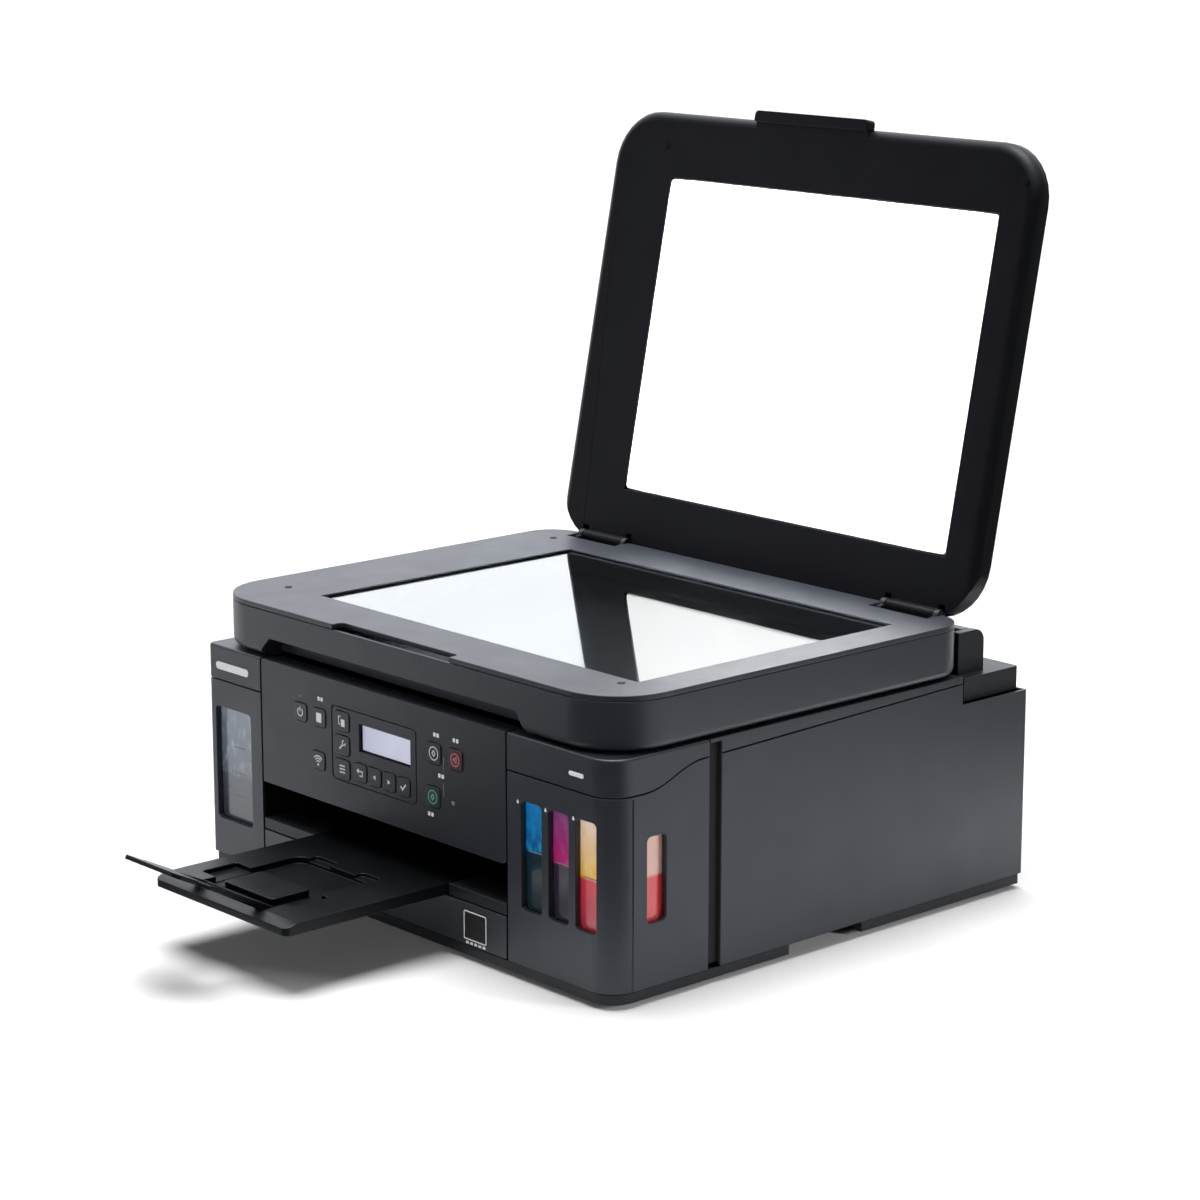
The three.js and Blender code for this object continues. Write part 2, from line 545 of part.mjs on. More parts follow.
function outputTray() {
  const top = LEDGE_TOP;
  const ledge = cut(
    box(BAY_LEFT + GAP, -halfD + 0.2, LEDGE_BOTTOM, BAY_RIGHT - 0.2, -12, top),
    box(TRAY.x0 - GAP, -halfD - 1, 30, TRAY.x1 + GAP, -20, 50),
  );
  place("output_tray_frame", ledge, "inner");

  const hinge = [FLAP.axisY, FLAP.axisZ];
  const slabOutline = roundedRect(TRAY.x0, TRAY.front, TRAY.x1, TRAY.back, [5, 5, 1, 1], 4);
  const slope = alongX(outline([
    [TRAY.front - 1, top + 1], [TRAY.front - 1, top - 2.6], [TRAY.front, top - 2.6], [TRAY.front + 9, top],
    [TRAY.front + 9, top + 1],
  ]), TRAY.x0 - 1, TRAY.x1 + 1);
  const slab = cut(alongZ(slabOutline, LEDGE_BOTTOM, top), slope);
  const stowBack = FLAP.axisY + FLAP.length + 1.5;
  const stowOutline = roundedRect(FLAP.x0 - 0.6, TRAY.front + 8, FLAP.x1 + 0.6, stowBack, [1, 1, 8, 8], 4);
  const stow = alongZ(stowOutline, top - 4.3, top + 1);
  const pocket = (x0, x1) => alongZ(roundedRect(x0, -284, x1, -257, 2, 3), top - 3.4, top + 1);
  const fingerNotch = (x0, x1) => alongZ(roundedRect(x0, -222, x1, -210.5, 3, 3), top - 2.2, top + 1);
  const cuts = [stow, pocket(-73, -56), pocket(14, 23), fingerNotch(-49, -28), fingerNotch(-2, 16)];
  const hump = TRAY_HUMP;
  const humpOutline = roundedRect(hump.x0, hump.y0, hump.x1, hump.y1, 3, 3);
  const raised = alongZ(humpOutline, LEDGE_BOTTOM + 1, hump.top);
  const pinHole = rod("x", hinge, 1.5, FLAP.x0 - 4, FLAP.x1 + 4, 10);
  place("output_tray", join(cut(slab, ...cuts, pinHole), raised), "inner");

  // The blade is drawn stowed, lying back over the tray, and is turned to its open angle.
  const [a, b] = [FLAP.x0 + 0.4, FLAP.x1 - 0.4];
  const end = FLAP.length;
  const blade = alongZ(outline([
    [a, 0], [b, 0], [b, end - 22], [b - 7, end - 17], [b - 7, end - 4], [b - 11, end],
    [a + 11, end], [a + 7, end - 4], [a + 7, end - 17], [a, end - 22],
  ]), -FLAP.thick / 2, FLAP.thick / 2);
  const [u0, u1] = [hump.y0 - FLAP.axisY - 0.8, hump.y1 - FLAP.axisY + 0.8];
  const gate = alongZ(roundedRect(hump.x0 - 1, u0, hump.x1 + 1, u1, 3, 3), -3, 3);
  const barrel = rod("x", [0, 0], 1.85, a, b, 10);
  const pin = rod("x", [0, 0], 1.15, FLAP.x0 - 3, FLAP.x1 + 3, 10);
  const flap = new THREE.Group();
  flap.position.set(0, FLAP.axisY, FLAP.axisZ);
  flap.rotation.x = THREE.MathUtils.degToRad(FLAP.open);
  printer.add(flap);
  place("output_flap", join(cut(blade, gate), barrel, pin), "inner", flap);
}

function rearTray() {
  const { halfW: x, y0, y1, top } = REAR_BLOCK;
  const block = alongZ(roundedRect(-x, y0, x, y1, [0, 0, 2, 2]), REAR_LEDGE_Z + 0.3, top);
  const slot = box(PAPER_X - 118, 132, 130, PAPER_X + 118, 151, 160);
  const cheek = (x0, x1) => alongX(roundedRect(128.4, top - 1, 153, REAR_COVER.top, [0, 0, 8, 1]), x0, x1);
  // Two ears carry the scanner unit's pivot.
  const ear = (x0) => {
    const post = box(x0, 128, top - 1, x0 + 5, 133.4, SCANNER_PIVOT.z);
    const eye = rod("x", [SCANNER_PIVOT.y, SCANNER_PIVOT.z], 4.4, x0, x0 + 5, 16);
    return join(post, eye, rod("x", [SCANNER_PIVOT.y, SCANNER_PIVOT.z], 2, x0 - 7, x0 + 12, 12));
  };
  const cheeks = [cheek(REAR_COVER.halfW + GAP, 190), cheek(-190, -REAR_COVER.halfW - GAP)];
  place("rear_tray_frame", join(cut(block, slot), ...cheeks, ear(-101), ear(96)), "shell");

  const { halfW: cx, y0: front, y1: back, top: lidTop } = REAR_COVER;
  const base = top + GAP;
  const profile = (inset) => outline([
    [front + inset, base - (inset ? 1 : 0)],
    [back - inset, base - (inset ? 1 : 0)],
    [back - inset, lidTop - 8],
    [back - 2.4 - inset * 0.8, lidTop - 2.4 - inset * 0.8],
    [back - 8, lidTop - inset],
    [front + 10, lidTop - inset],
    [front + inset, lidTop - 11 - inset * 0.4],
  ]);
  const hood = cut(alongX(profile(0), -cx, cx), alongX(profile(2), -cx + 2, cx - 2));
  const notch = (x0) => box(x0 - 9, front - 1, top, x0 + 14, front + 9, lidTop + 1);
  place("rear_tray_cover", cut(hood, notch(-101), notch(96)), "shell");

  // A guide is a fence beside the paper and a foot under it.
  const guide = (fence, foot) => join(
    box(fence, 134, 140, fence + 2.5, 149, 165),
    box(foot, 145, 140, foot + 19, 149, 143),
  );
  const half = PAPER_W / 2 + 2;
  place("paper_guide_left", guide(PAPER_X - half - 2.5, PAPER_X - half - 1), "inner");
  place("paper_guide_right", guide(PAPER_X + half, PAPER_X + half - 18), "inner");
}

// ---------------------------------------------------------------- scanner unit
const scannerOutline = (inset) => {
  const [front, rear] = [SCANNER.frontR - inset, SCANNER.rearR - inset];
  const x = SCANNER.halfW - inset;
  return roundedRect(-x, SCANNER.front + inset, x, SCANNER.back - inset, [front, front, rear, rear], 8);
};

// The rear pockets that hold the lid's hinges.
const hingePockets = Object.values(LID_HINGES).map(([x0, x1]) =>
  box(x0 - 0.6, 111.5, 183, x1 + 0.6, 127, SCANNER.top + 1));

function scannerUnit() {
  const { bottom, top, front } = SCANNER;
  const seam = top - BEZEL_T;
  // A long recess in the lower front edge lets the panel's top edge swing.
  const recess = (grow) => alongY(outline([
    [-143.4 - grow, bottom - 1],
    [123 + grow, bottom - 1],
    [114 + grow, 169 + grow],
    [-134 - grow, 169 + grow],
    [-143.4 - grow, 160 + grow],
  ]), front - 1, front + 17 + grow);
  const cavity = cut(alongZ(scannerOutline(WALL), bottom + WALL, top), recess(WALL));
  const lug = (x0) => join(
    box(x0, 124, SCANNER_PIVOT.z - 4.4, x0 + 5, SCANNER_PIVOT.y, SCANNER_PIVOT.z + 4.4),
    rod("x", [SCANNER_PIVOT.y, SCANNER_PIVOT.z], 4.4, x0, x0 + 5, 16),
  );
  const pinHole = rod("x", [SCANNER_PIVOT.y, SCANNER_PIVOT.z], 2.4, -120, 120, 12);
  const lugs = [-95.4, -107, 90.4, 101.6].map(lug);
  const r = SCANNER_UNDER_R;
  const rounding = { bevelEnabled: true, bevelThickness: r, bevelSize: r, bevelOffset: -r, bevelSegments: 3 };
  const tall = { depth: top - bottom, curveSegments: 8, ...rounding };
  const envelope = solid(new THREE.ExtrudeGeometry(scannerOutline(0), tall).translate(0, 0, bottom + r));
  const block = alongZ(scannerOutline(0), bottom, seam).intersect(envelope);
  const shell = cut(block, recess(0), cavity, ...hingePockets);
  place("scanner_case", join(shell, ...lugs.map((piece) => cut(piece, pinHole))), "shell");

  const { x0, x1, y0, y1 } = GLASS_OPENING;
  const plate = alongZ(scannerOutline(0), seam + 0.3, top);
  const opening = box(x0, y0, 180, x1, y1, top + 1);
  const rebate = box(x0 - 5.5, y0 - 5.5, 180, x1 + 5.5, y1 + 5.5, top - 1.5);
  const thumbCut = alongZ(roundedRect(-66, front - 1, 51, front + 8, [0, 0, 3, 3], 3), 180, top + 1);
  place("scanner_bezel", cut(plate, opening, rebate, thumbCut, ...hingePockets), "shell");
  place("platen_glass", box(x0 - 5, y0 - 5, top - 4.5, x1 + 5, y1 + 5, top - 1.8), "glass");

  const bar = join(box(-182, -140, 166, -160, 86, 180), box(-178, -136, 179, -164, 82, 184.5));
  place("scan_carriage", bar, "inner");

  const axis = [LID_AXIS.y, LID_AXIS.z];
  for (const [side, [h0, h1]] of Object.entries(LID_HINGES)) {
    const ear = (e0) => join(
      box(e0, 113, 178, e0 + 4, 123.1, 187),
      box(e0, 118, 184, e0 + 4, 129, 190),
      rod("x", axis, 4.3, e0, e0 + 4, 16),
    );
    const base = box(h0, 112, 172, h1, 123.1, 182);
    const pin = rod("x", axis, 2, h0, h1, 12);
    place(`lid_hinge_${side}`, join(base, ear(h0), ear(h1 - 4), pin), "steel");
  }
}

// The document cover is drawn shut, and is turned back to its open stop about the hinge pins.
function documentCover() {
  const { halfW: x, front, back, bottom, thick, r } = LID;
  const top = bottom + thick;
  const lid = new THREE.Group();
  const turn = new THREE.Group();
  lid.position.set(0, LID_AXIS.y, LID_AXIS.z);
  lid.rotation.x = -THREE.MathUtils.degToRad(LID.openDeg);
  turn.position.set(0, -LID_AXIS.y, -LID_AXIS.z);
  lid.add(turn);
  printer.add(lid);

  // The edges of the inner face are rounded, except at the hinges.
  const { innerR } = LID;
  const rounding = { bevelEnabled: true, bevelThickness: innerR, bevelSize: innerR, bevelOffset: -innerR };
  const tall = { depth: thick, curveSegments: 8, bevelSegments: 4, ...rounding };
  const longOutline = roundedRect(-x, front, x, back + 2 * innerR, [r, r, 0, 0], 8);
  const envelope = solid(new THREE.ExtrudeGeometry(longOutline, tall).translate(0, 0, bottom + innerR));
  const slab = alongZ(roundedRect(-x, front, x, back, r, 8), bottom, top).intersect(envelope);
  const pocketOutline = roundedRect(SHEET.x0 - GAP, SHEET.y0 - GAP, SHEET.x1 + GAP, SHEET.y1 + GAP);
  const pocket = alongZ(pocketOutline, bottom - 1, bottom + 8.6);
  const tab = alongZ(roundedRect(-60, front - 6, 47, front + 6, [3, 3, 0, 0], 3), bottom - 2.6, bottom + 5);
  const tabSeat = box(-60, front + 1.5, bottom - 3, 47, front + 7, bottom);
  // The back edge goes down behind the scanner when the cover stands open, so its inner corner is relieved.
  const relief = box(-x - 1, LID_AXIS.y, bottom - 1, x + 1, back + 1, bottom + 1.2);
  let cover = join(cut(slab, pocket, relief), cut(tab, tabSeat));
  const recessFront = LID_AXIS.y - 7.1;
  for (const [h0, h1] of Object.values(LID_HINGES)) {
    const recess = box(h0 - 0.8, recessFront, bottom - 1, h1 + 0.8, back + 1, top - 3);
    const knuckle = rod("x", [LID_AXIS.y, LID_AXIS.z], 4.3, h0 + 4.5, h1 - 4.5, 16);
    const neck = box(h0 + 4.5, recessFront - 3, bottom, h1 - 4.5, LID_AXIS.y, bottom + 2.8);
    const bore = rod("x", [LID_AXIS.y, LID_AXIS.z], 2.4, h0 - 1, h1 + 1, 12);
    cover = cut(join(cut(cover, recess), knuckle, neck), bore);
  }
  place("document_cover", cover, "lid", turn);
  const { x0, x1, y0, y1 } = SHEET;
  place("cover_sheet", box(x0, y0, bottom - 0.1, x1, y1, bottom - 0.1 + SHEET.thick), "sheet", turn);
}

// ---------------------------------------------------------------- assembly
basePan();
frontCovers();
sideCovers();
rearCover();
operationPanel();
inkTanks();
mainFrame();
rollers();
printEngine();
electronics();
cassette();
outputTray();
rearTray();
scannerUnit();
documentCover();

const bounds = new THREE.Box3().setFromObject(printer, true);
const middle = bounds.getCenter(new THREE.Vector3());
printer.position.set(-middle.x, -middle.y, -bounds.min.z);

export default printer;
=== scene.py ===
"""The looks of an ink-tank inkjet printer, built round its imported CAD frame.

CAD nodes keep their meshes: they get softened edges and procedural materials. Printed marks, small fittings
and the cover pad are pieces of their own that ride on the CAD bodies.
Positions are given in the body's own millimetres (x = 0 and y = 0 in the middle of the body, z = 0 on the
table), and at() turns them into the frame's metres.
"""
import math

import bmesh
import bpy
from mathutils import Matrix, Vector

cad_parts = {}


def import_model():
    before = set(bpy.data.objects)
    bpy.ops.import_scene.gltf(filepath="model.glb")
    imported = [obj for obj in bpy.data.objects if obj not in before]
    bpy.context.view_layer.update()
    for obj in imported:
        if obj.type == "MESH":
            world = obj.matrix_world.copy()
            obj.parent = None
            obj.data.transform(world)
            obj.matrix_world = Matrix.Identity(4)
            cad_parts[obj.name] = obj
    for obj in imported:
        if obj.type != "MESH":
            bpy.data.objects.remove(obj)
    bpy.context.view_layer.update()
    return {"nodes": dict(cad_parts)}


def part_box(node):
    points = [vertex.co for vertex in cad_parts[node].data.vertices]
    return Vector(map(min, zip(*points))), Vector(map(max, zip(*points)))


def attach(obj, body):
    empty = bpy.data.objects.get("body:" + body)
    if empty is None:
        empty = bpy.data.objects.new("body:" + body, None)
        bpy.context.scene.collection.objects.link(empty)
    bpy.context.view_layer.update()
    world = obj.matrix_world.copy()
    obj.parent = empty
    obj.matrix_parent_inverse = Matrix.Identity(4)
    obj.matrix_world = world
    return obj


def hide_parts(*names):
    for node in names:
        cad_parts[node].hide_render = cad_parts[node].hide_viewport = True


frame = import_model()

# ---------------------------------------------------------------- sizes and places
MM = 0.001
BODY_HALF_W = 201.5
BODY_HALF_D = 184.5
CENTRE_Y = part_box("operation_panel")[0].y + BODY_HALF_D * MM

CAMERA_TARGET = (-80.6, 60.6, 166.7)
CAMERA_AZIMUTH = 48.0
CAMERA_ELEVATION = 13.01
CAMERA_DISTANCE = 2300
CAMERA_LENS = 99.8

DARK_SIDE = 48.0  # azimuth of the unlit side of the studio
FLAG_SIDES = (-37.0, 80.0)  # azimuths of the black card's ends
FLAG_NEAR = 0.38  # metres from the printer's middle to the black card's near and far edges
FLAG_FAR = 6
STAGE_CENTRE = (0, -79.8, 0)
OVERHEAD = (246, 82)  # azimuth and elevation of the overhead light
OVERHEAD_SPREAD = 44
SIDE_PANEL = (116, 5)  # direction of the faint panel in reflections
BACKDROP = 1.9  # how bright the far side of the room is in reflections
ROOM_FILL = 0.06

COOL = (0.86, 0.91, 1, 1)  # the faint blue of the plastics' reflections

PAN_BOTTOM = 2.5
DECK_TOP = 155
SCANNER_TOP = 191
FEET = {
    "front_left": (-165, -150), "front_right": (165, -150),
    "rear_left": (-165, 150), "rear_right": (165, 150),
}
LID_AXIS = (0, 125.3, 190)
LID_OPEN = 101.4


def at(x, y, z):
    """A point in the body's millimetres, in the frame's metres."""
    return Vector((x * MM, y * MM + CENTRE_Y, z * MM))


def metres(size):
    return size * MM


# ---------------------------------------------------------------- node graphs
def linear(code):
    """A colour such as "#2a2b2d" as linear red, green, blue and 1."""
    parts = [int(code[i : i + 2], 16) / 255 for i in (1, 3, 5)]
    return (*[c / 12.92 if c < 0.04045 else ((c + 0.055) / 1.055) ** 2.4 for c in parts], 1)


class Graph:
    """A material's node tree, with short calls that add nodes, link them and set the shader's sockets."""

    def __init__(self, name, **sockets):
        self.material = bpy.data.materials.new(name)
        self.material.use_nodes = True
        self.tree = self.material.node_tree
        self.shader = self.tree.nodes["Principled BSDF"]
        self.coords = self.add("ShaderNodeTexCoord").outputs["Object"]
        self.set(**sockets)

    def add(self, kind, inputs=(), **settings):
        node = self.tree.nodes.new(kind)
        for key, value in settings.items():
            setattr(node, key, value)
        for key, value in dict(inputs).items():
            self.plug(node.inputs[key], value)
        return node

    def plug(self, socket, value):
        if isinstance(value, bpy.types.NodeSocket):
            self.tree.links.new(value, socket)
        else:
            socket.default_value = value

    def set(self, **sockets):
        """Sets the shader's sockets; base_color stands for Base Color."""
        for key, value in sockets.items():
            self.plug(self.shader.inputs[key.replace("_", " ").title().replace("Ior", "IOR")], value)

    def noise(self, per_metre, detail=3.0, stretch=(1, 1, 1)):
        """Noise whose features are about 1 / per_metre wide, drawn out along an axis by a small stretch."""
        mapped = self.add("ShaderNodeMapping", {"Vector": self.coords, "Scale": stretch})
        inputs = {"Vector": mapped.outputs["Vector"], "Scale": per_metre, "Detail": detail}
        return self.add("ShaderNodeTexNoise", inputs).outputs["Fac"]

    def span(self, value, low, high, to_low=0.0, to_high=1.0):
        """value mapped from low..high to to_low..to_high."""
        inputs = {"Value": value, "From Min": low, "From Max": high, "To Min": to_low, "To Max": to_high}
        return self.add("ShaderNodeMapRange", inputs).outputs["Result"]

    def mix(self, share, first, second):
        node = self.add("ShaderNodeMix", data_type="RGBA")
        for index, value in ((0, share), (6, first), (7, second)):
            self.plug(node.inputs[index], value)
        return node.outputs[2]

    def math(self, operation, first, second=0.0):
        return self.add("ShaderNodeMath", {0: first, 1: second}, operation=operation).outputs[0]

    def axis(self, name):
        return self.add("ShaderNodeSeparateXYZ", {"Vector": self.coords}).outputs[name]

    def bump(self, height, depth, strength=1.0):
        """Relief of the given depth in metres."""
        inputs = {"Height": height, "Distance": depth, "Strength": strength}
        self.set(normal=self.add("ShaderNodeBump", inputs).outputs["Normal"])


def moulded(name, colour, roughness, grain=0.45, relief=0.03, vary=0.12, ior=1.5):
    """Moulded plastic: a fine spark-eroded grain, and slow changes of tone and gloss across a face."""
    graph = Graph(name, ior=ior, specular_tint=COOL)
    tone = linear(colour)
    darker = tuple(c * (1 - vary) for c in tone[:3]) + (1,)
    lighter = tuple(c * (1 + vary) for c in tone[:3]) + (1,)
    graph.set(base_color=graph.mix(graph.noise(14), darker, lighter))
    cloud = graph.noise(35, detail=5)
    graph.set(roughness=graph.span(cloud, 0.3, 0.7, roughness - 0.03, roughness + 0.03))
    graph.bump(graph.noise(1 / metres(grain), detail=2), metres(relief), 0.5)
    return graph.material


def printed(name, colour):
    """Screen-printed paint: nearly flat, with an uneven edge of ink."""
    graph = Graph(name, roughness=0.5)
    tone = linear(colour)
    graph.set(base_color=graph.mix(graph.noise(900), tuple(c * 0.85 for c in tone[:3]) + (1,), tone))
    return graph.material


def brushed_steel():
    graph = Graph("steel_brushed", metallic=1.0)
    streaks = graph.noise(2500, detail=4, stretch=(0.02, 1, 1))
    graph.set(base_color=graph.mix(streaks, linear("#7e8184"), linear("#a9acae")))
    graph.set(roughness=graph.span(streaks, 0.3, 0.7, 0.28, 0.42))
    graph.bump(streaks, metres(0.01), 0.4)
    return graph.material


def ground_rubber():
    graph = Graph("rubber_ground", roughness=0.85)
    marks = graph.noise(1800, detail=5, stretch=(1, 0.3, 0.3))
    graph.set(base_color=graph.mix(marks, linear("#0b0b0c"), linear("#1b1b1c")))
    graph.bump(marks, metres(0.06), 0.6)
    return graph.material


def clear_glass(name, tint, index, roughness=0.0):
    """Clear glass or window plastic, with faint smears that only change its gloss."""
    graph = Graph(name, base_color=linear(tint), transmission_weight=1.0, ior=index)
    smears = graph.noise(12, detail=6, stretch=(1, 3, 1))
    graph.set(roughness=graph.span(smears, 0.35, 0.75, roughness, roughness + 0.03))
    return graph.material


WINDOW_BOTTOM, WINDOW_TOP = 30, 112  # heights between which a tank shows
PAINTED_LIGHT_FLANK = (-172, -166)  # a tank's colours turn from its face's to its flank's between these depths; the flank's are paler, as painted light
INK_LINE = 1.2  # half the blurred height of an ink level


def ink_vessel(name, empty, top, streak, level, body, shaded_ink, side=None):
    """A translucent tank. Above the ink line shows the stained empty wall, in other colours at its top.
    Below it the ink fills the tank, and darkens towards the window's bottom as painted shade. side is a
    second empty and ink colour for the tank's outer flank, paler as painted light."""
    graph = Graph(name, roughness=0.22, coat_weight=0.6, coat_roughness=0.08, ior=1.49)
    height = graph.axis("Z")
    wobble = graph.span(graph.noise(60), 0, 1, -0.0012, 0.0012)
    ends = metres(level + INK_LINE), metres(level - INK_LINE)
    filled = graph.span(graph.math("ADD", height, wobble), *ends)
    drops = graph.noise(220, detail=4, stretch=(1, 1, 0.4))
    rise = graph.span(height, metres(level + 4), metres(WINDOW_TOP))
    stained = graph.mix(rise, linear(empty), linear(top))
    above = graph.mix(graph.span(drops, 0.5, 0.66), stained, linear(streak))
    # painted shade: below the ink line the ink darkens towards the window's bottom
    painted_shade_share = graph.span(height, metres(level), metres(WINDOW_BOTTOM))
    below = graph.mix(painted_shade_share, linear(body), linear(shaded_ink))
    colour = graph.mix(filled, above, below)
    if side:
        # painted light: towards the tank's outer flank the colours turn paler
        flank = graph.span(graph.axis("Y"), *(at(0, y, 0).y for y in PAINTED_LIGHT_FLANK))
        colour = graph.mix(flank, colour, graph.mix(filled, linear(side[0]), linear(side[1])))
    graph.set(base_color=colour)
    graph.bump(graph.noise(500), metres(0.05), 0.15)
    return graph.material


def lcd_screen():
    """A pale display area inside a dark surround, with its faint pixel rows. The pale area darkens towards
    its left: painted shade from the recess's left wall.
    """
    low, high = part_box("lcd_module")
    rim = metres(4.2)
    graph = Graph("lcd_screen", roughness=0.25, coat_weight=0.5, coat_roughness=0.05)
    x, z = graph.axis("X"), graph.axis("Z")
    across = graph.math("ABSOLUTE", graph.math("SUBTRACT", x, (low.x + high.x) / 2))
    up = graph.math("ABSOLUTE", graph.math("SUBTRACT", z, (low.z + high.z) / 2))
    shown_x = graph.math("LESS_THAN", across, (high.x - low.x) / 2 - rim)
    shown_z = graph.math("LESS_THAN", up, (high.z - low.z) / 2 - rim)
    rows = graph.add("ShaderNodeTexBrick", {
        "Vector": graph.coords, "Color1": (1, 1, 1, 1), "Color2": (1, 1, 1, 1), "Mortar": (0.8, 0.8, 0.85, 1),
        "Scale": 1 / metres(1.2), "Mortar Size": 0.02,
    }).outputs["Color"]
    # painted shade: the pale area is darker at its left, where the recess's wall shades it
    pale_shaded_left = graph.mix(graph.span(x, low.x, high.x), linear("#a8acc0"), linear("#c4c8d9"))
    pale = graph.add("ShaderNodeMix", data_type="RGBA", blend_type="MULTIPLY")
    for index, value in ((0, 1.0), (6, pale_shaded_left), (7, rows)):
        graph.plug(pale.inputs[index], value)
    shown = graph.math("MULTIPLY", shown_x, shown_z)
    graph.set(base_color=graph.mix(shown, linear("#0c0d10"), pale.outputs[2]))
    return graph.material


def circuit_board():
    """Green solder mask over copper tracks."""
    graph = Graph("circuit_board", roughness=0.4, coat_weight=0.3)
    grid = {"Vector": graph.coords, "Scale": 160.0}
    cells = graph.add("ShaderNodeTexVoronoi", grid, distance="MANHATTAN")
    tracks = graph.span(cells.outputs["Distance"], 0.30, 0.36)
    graph.set(base_color=graph.mix(tracks, linear("#3f8a52"), linear("#14502c")))
    graph.bump(tracks, metres(0.04), 0.4)
    return graph.material


def pad_sheet():
    """The white plastic sheet over foam that presses a page flat."""
    graph = Graph("pad_sheet", roughness=0.55)
    graph.set(base_color=graph.mix(graph.noise(25), linear("#f1f2f2"), linear("#fbfbfa")))
    graph.bump(graph.noise(700), metres(0.02), 0.3)
    return graph.material


MATERIALS = {
    "shell": moulded("shell_black", "#16181d", 0.44, ior=1.6),
    # a darker copy of the shell's black: painted shade for the rear block in the gap behind the scanner
    "rear": moulded("rear_black_painted_shade", "#07080a", 0.44, ior=1.5),
    "panel": moulded("panel_black", "#15171c", 0.42, grain=0.35, relief=0.02, ior=1.52),
    "lid": moulded("lid_black", "#020203", 0.42, grain=0.5, ior=1.27),
    "inner": moulded("inner_black", "#08090b", 0.5),
    "tray": moulded("tray_black", "#030405", 0.38, grain=0.3, relief=0.015, ior=1.33),
    "key": moulded("key_grey", "#15171a", 0.38, grain=0.3, relief=0.01),
    "key_stop": moulded("key_stop_red", "#2a1719", 0.35, grain=0.3, relief=0.01),
    "key_colour": moulded("key_colour_green", "#13231e", 0.3, grain=0.3, relief=0.01),
    "hinge": moulded("hinge_black", "#0e0f12", 0.36),
    "gear": moulded("gear_acetal", "#cfccc0", 0.42, vary=0.05),
    "white": printed("print_white", "#b9bcbe"),
    "grey": printed("print_grey", "#5d6062"),
    "black": printed("print_black", "#030303"),
    "pink": printed("print_pink", "#a85a5a"),
    "green": printed("print_green", "#5f8f80"),
    "steel": brushed_steel(),
    "rubber": ground_rubber(),
    "bumper": moulded("bumper_black", "#020202", 0.6, ior=1.2),
    "glass": clear_glass("platen_float_glass", "#f4f8f7", 2.4),
    "sheet": pad_sheet(),
    "lcd": lcd_screen(),
    "board": circuit_board(),
    # each tank's last colour is its ink near the window's bottom, darkened as painted shade
    "ink_black": ink_vessel("tank_black", "#4b525d", "#5d6672", "#6d757f", 66, "#3a3e47", "#24272d"),
    "ink_cyan": ink_vessel("tank_cyan", "#084579", "#0b66a0", "#13739f", 83, "#0a212b", "#0b1517"),
    "ink_magenta": ink_vessel("tank_magenta", "#8e1358", "#6a3262", "#7d3a6c", 81, "#241c2a", "#151319"),
    "ink_yellow": ink_vessel(
        # this pair is the yellow tank's paler flank colours: painted light
        "tank_yellow", "#bf9436", "#cdb7a6", "#b9a47c", 78, "#a52a3a", "#701828", side=("#c39c92", "#bb3a41")
    ),
}

# ---------------------------------------------------------------- stage
def look_from(azimuth, elevation):
    """The direction from the object to a viewer."""
    a, e = math.radians(azimuth), math.radians(elevation)
    return Vector((math.sin(a) * math.cos(e), -math.cos(a) * math.cos(e), math.sin(e)))


def camera():
    data = bpy.data.cameras.new("camera")
    data.lens = CAMERA_LENS
    data.sensor_width = 36
    data.clip_end = 60
    made = bpy.data.objects.new("camera", data)
    bpy.context.scene.collection.objects.link(made)
    direction = look_from(CAMERA_AZIMUTH, CAMERA_ELEVATION)
    made.location = at(*CAMERA_TARGET) + direction * metres(CAMERA_DISTANCE)
    made.rotation_euler = direction.to_track_quat("Z", "Y").to_euler()
    bpy.context.scene.camera = made


def soft_light(name, azimuth, elevation, distance, size, watts, aim=STAGE_CENTRE, spread=180):
    """A square soft box whose distance and size are in metres. It faces the point aim, in the body's
    millimetres, and doesn't show in reflections."""
    data = bpy.data.lights.new(name, "AREA")
    data.shape, data.size, data.energy, data.spread = "SQUARE", size, watts, math.radians(spread)
    made = bpy.data.objects.new(name, data)
    bpy.context.scene.collection.objects.link(made)
    direction = look_from(azimuth, elevation)
    made.location = at(*aim) + direction * distance
    made.rotation_euler = direction.to_track_quat("Z", "Y").to_euler()
    made.visible_glossy = False


def overhead_sun():
    """A broad overhead light that is even over the whole floor, so that the shadow stays under the tray."""
    data = bpy.data.lights.new("overhead", "SUN")
    data.energy, data.angle = 4.25, math.radians(OVERHEAD_SPREAD)
    made = bpy.data.objects.new("overhead", data)
    made.rotation_euler = look_from(*OVERHEAD).to_track_quat("Z", "Y").to_euler()
    bpy.context.scene.collection.objects.link(made)


def floor():
    """A white floor, a hair below the feet."""
    mesh = bpy.data.meshes.new("studio_floor")
    form = bmesh.new()
    bmesh.ops.create_circle(form, cap_ends=True, segments=96, radius=14)
    form.to_mesh(mesh)
    form.free()
    graph = Graph("studio_white", roughness=0.9, specular_ior_level=0.0)
    graph.set(base_color=graph.mix(graph.noise(0.8), (0.86, 0.86, 0.86, 1), (0.9, 0.9, 0.9, 1)))
    mesh.materials.append(graph.material)
    made = bpy.data.objects.new("studio_floor", mesh)
    made.location.z = -0.0002
    bpy.context.scene.collection.objects.link(made)


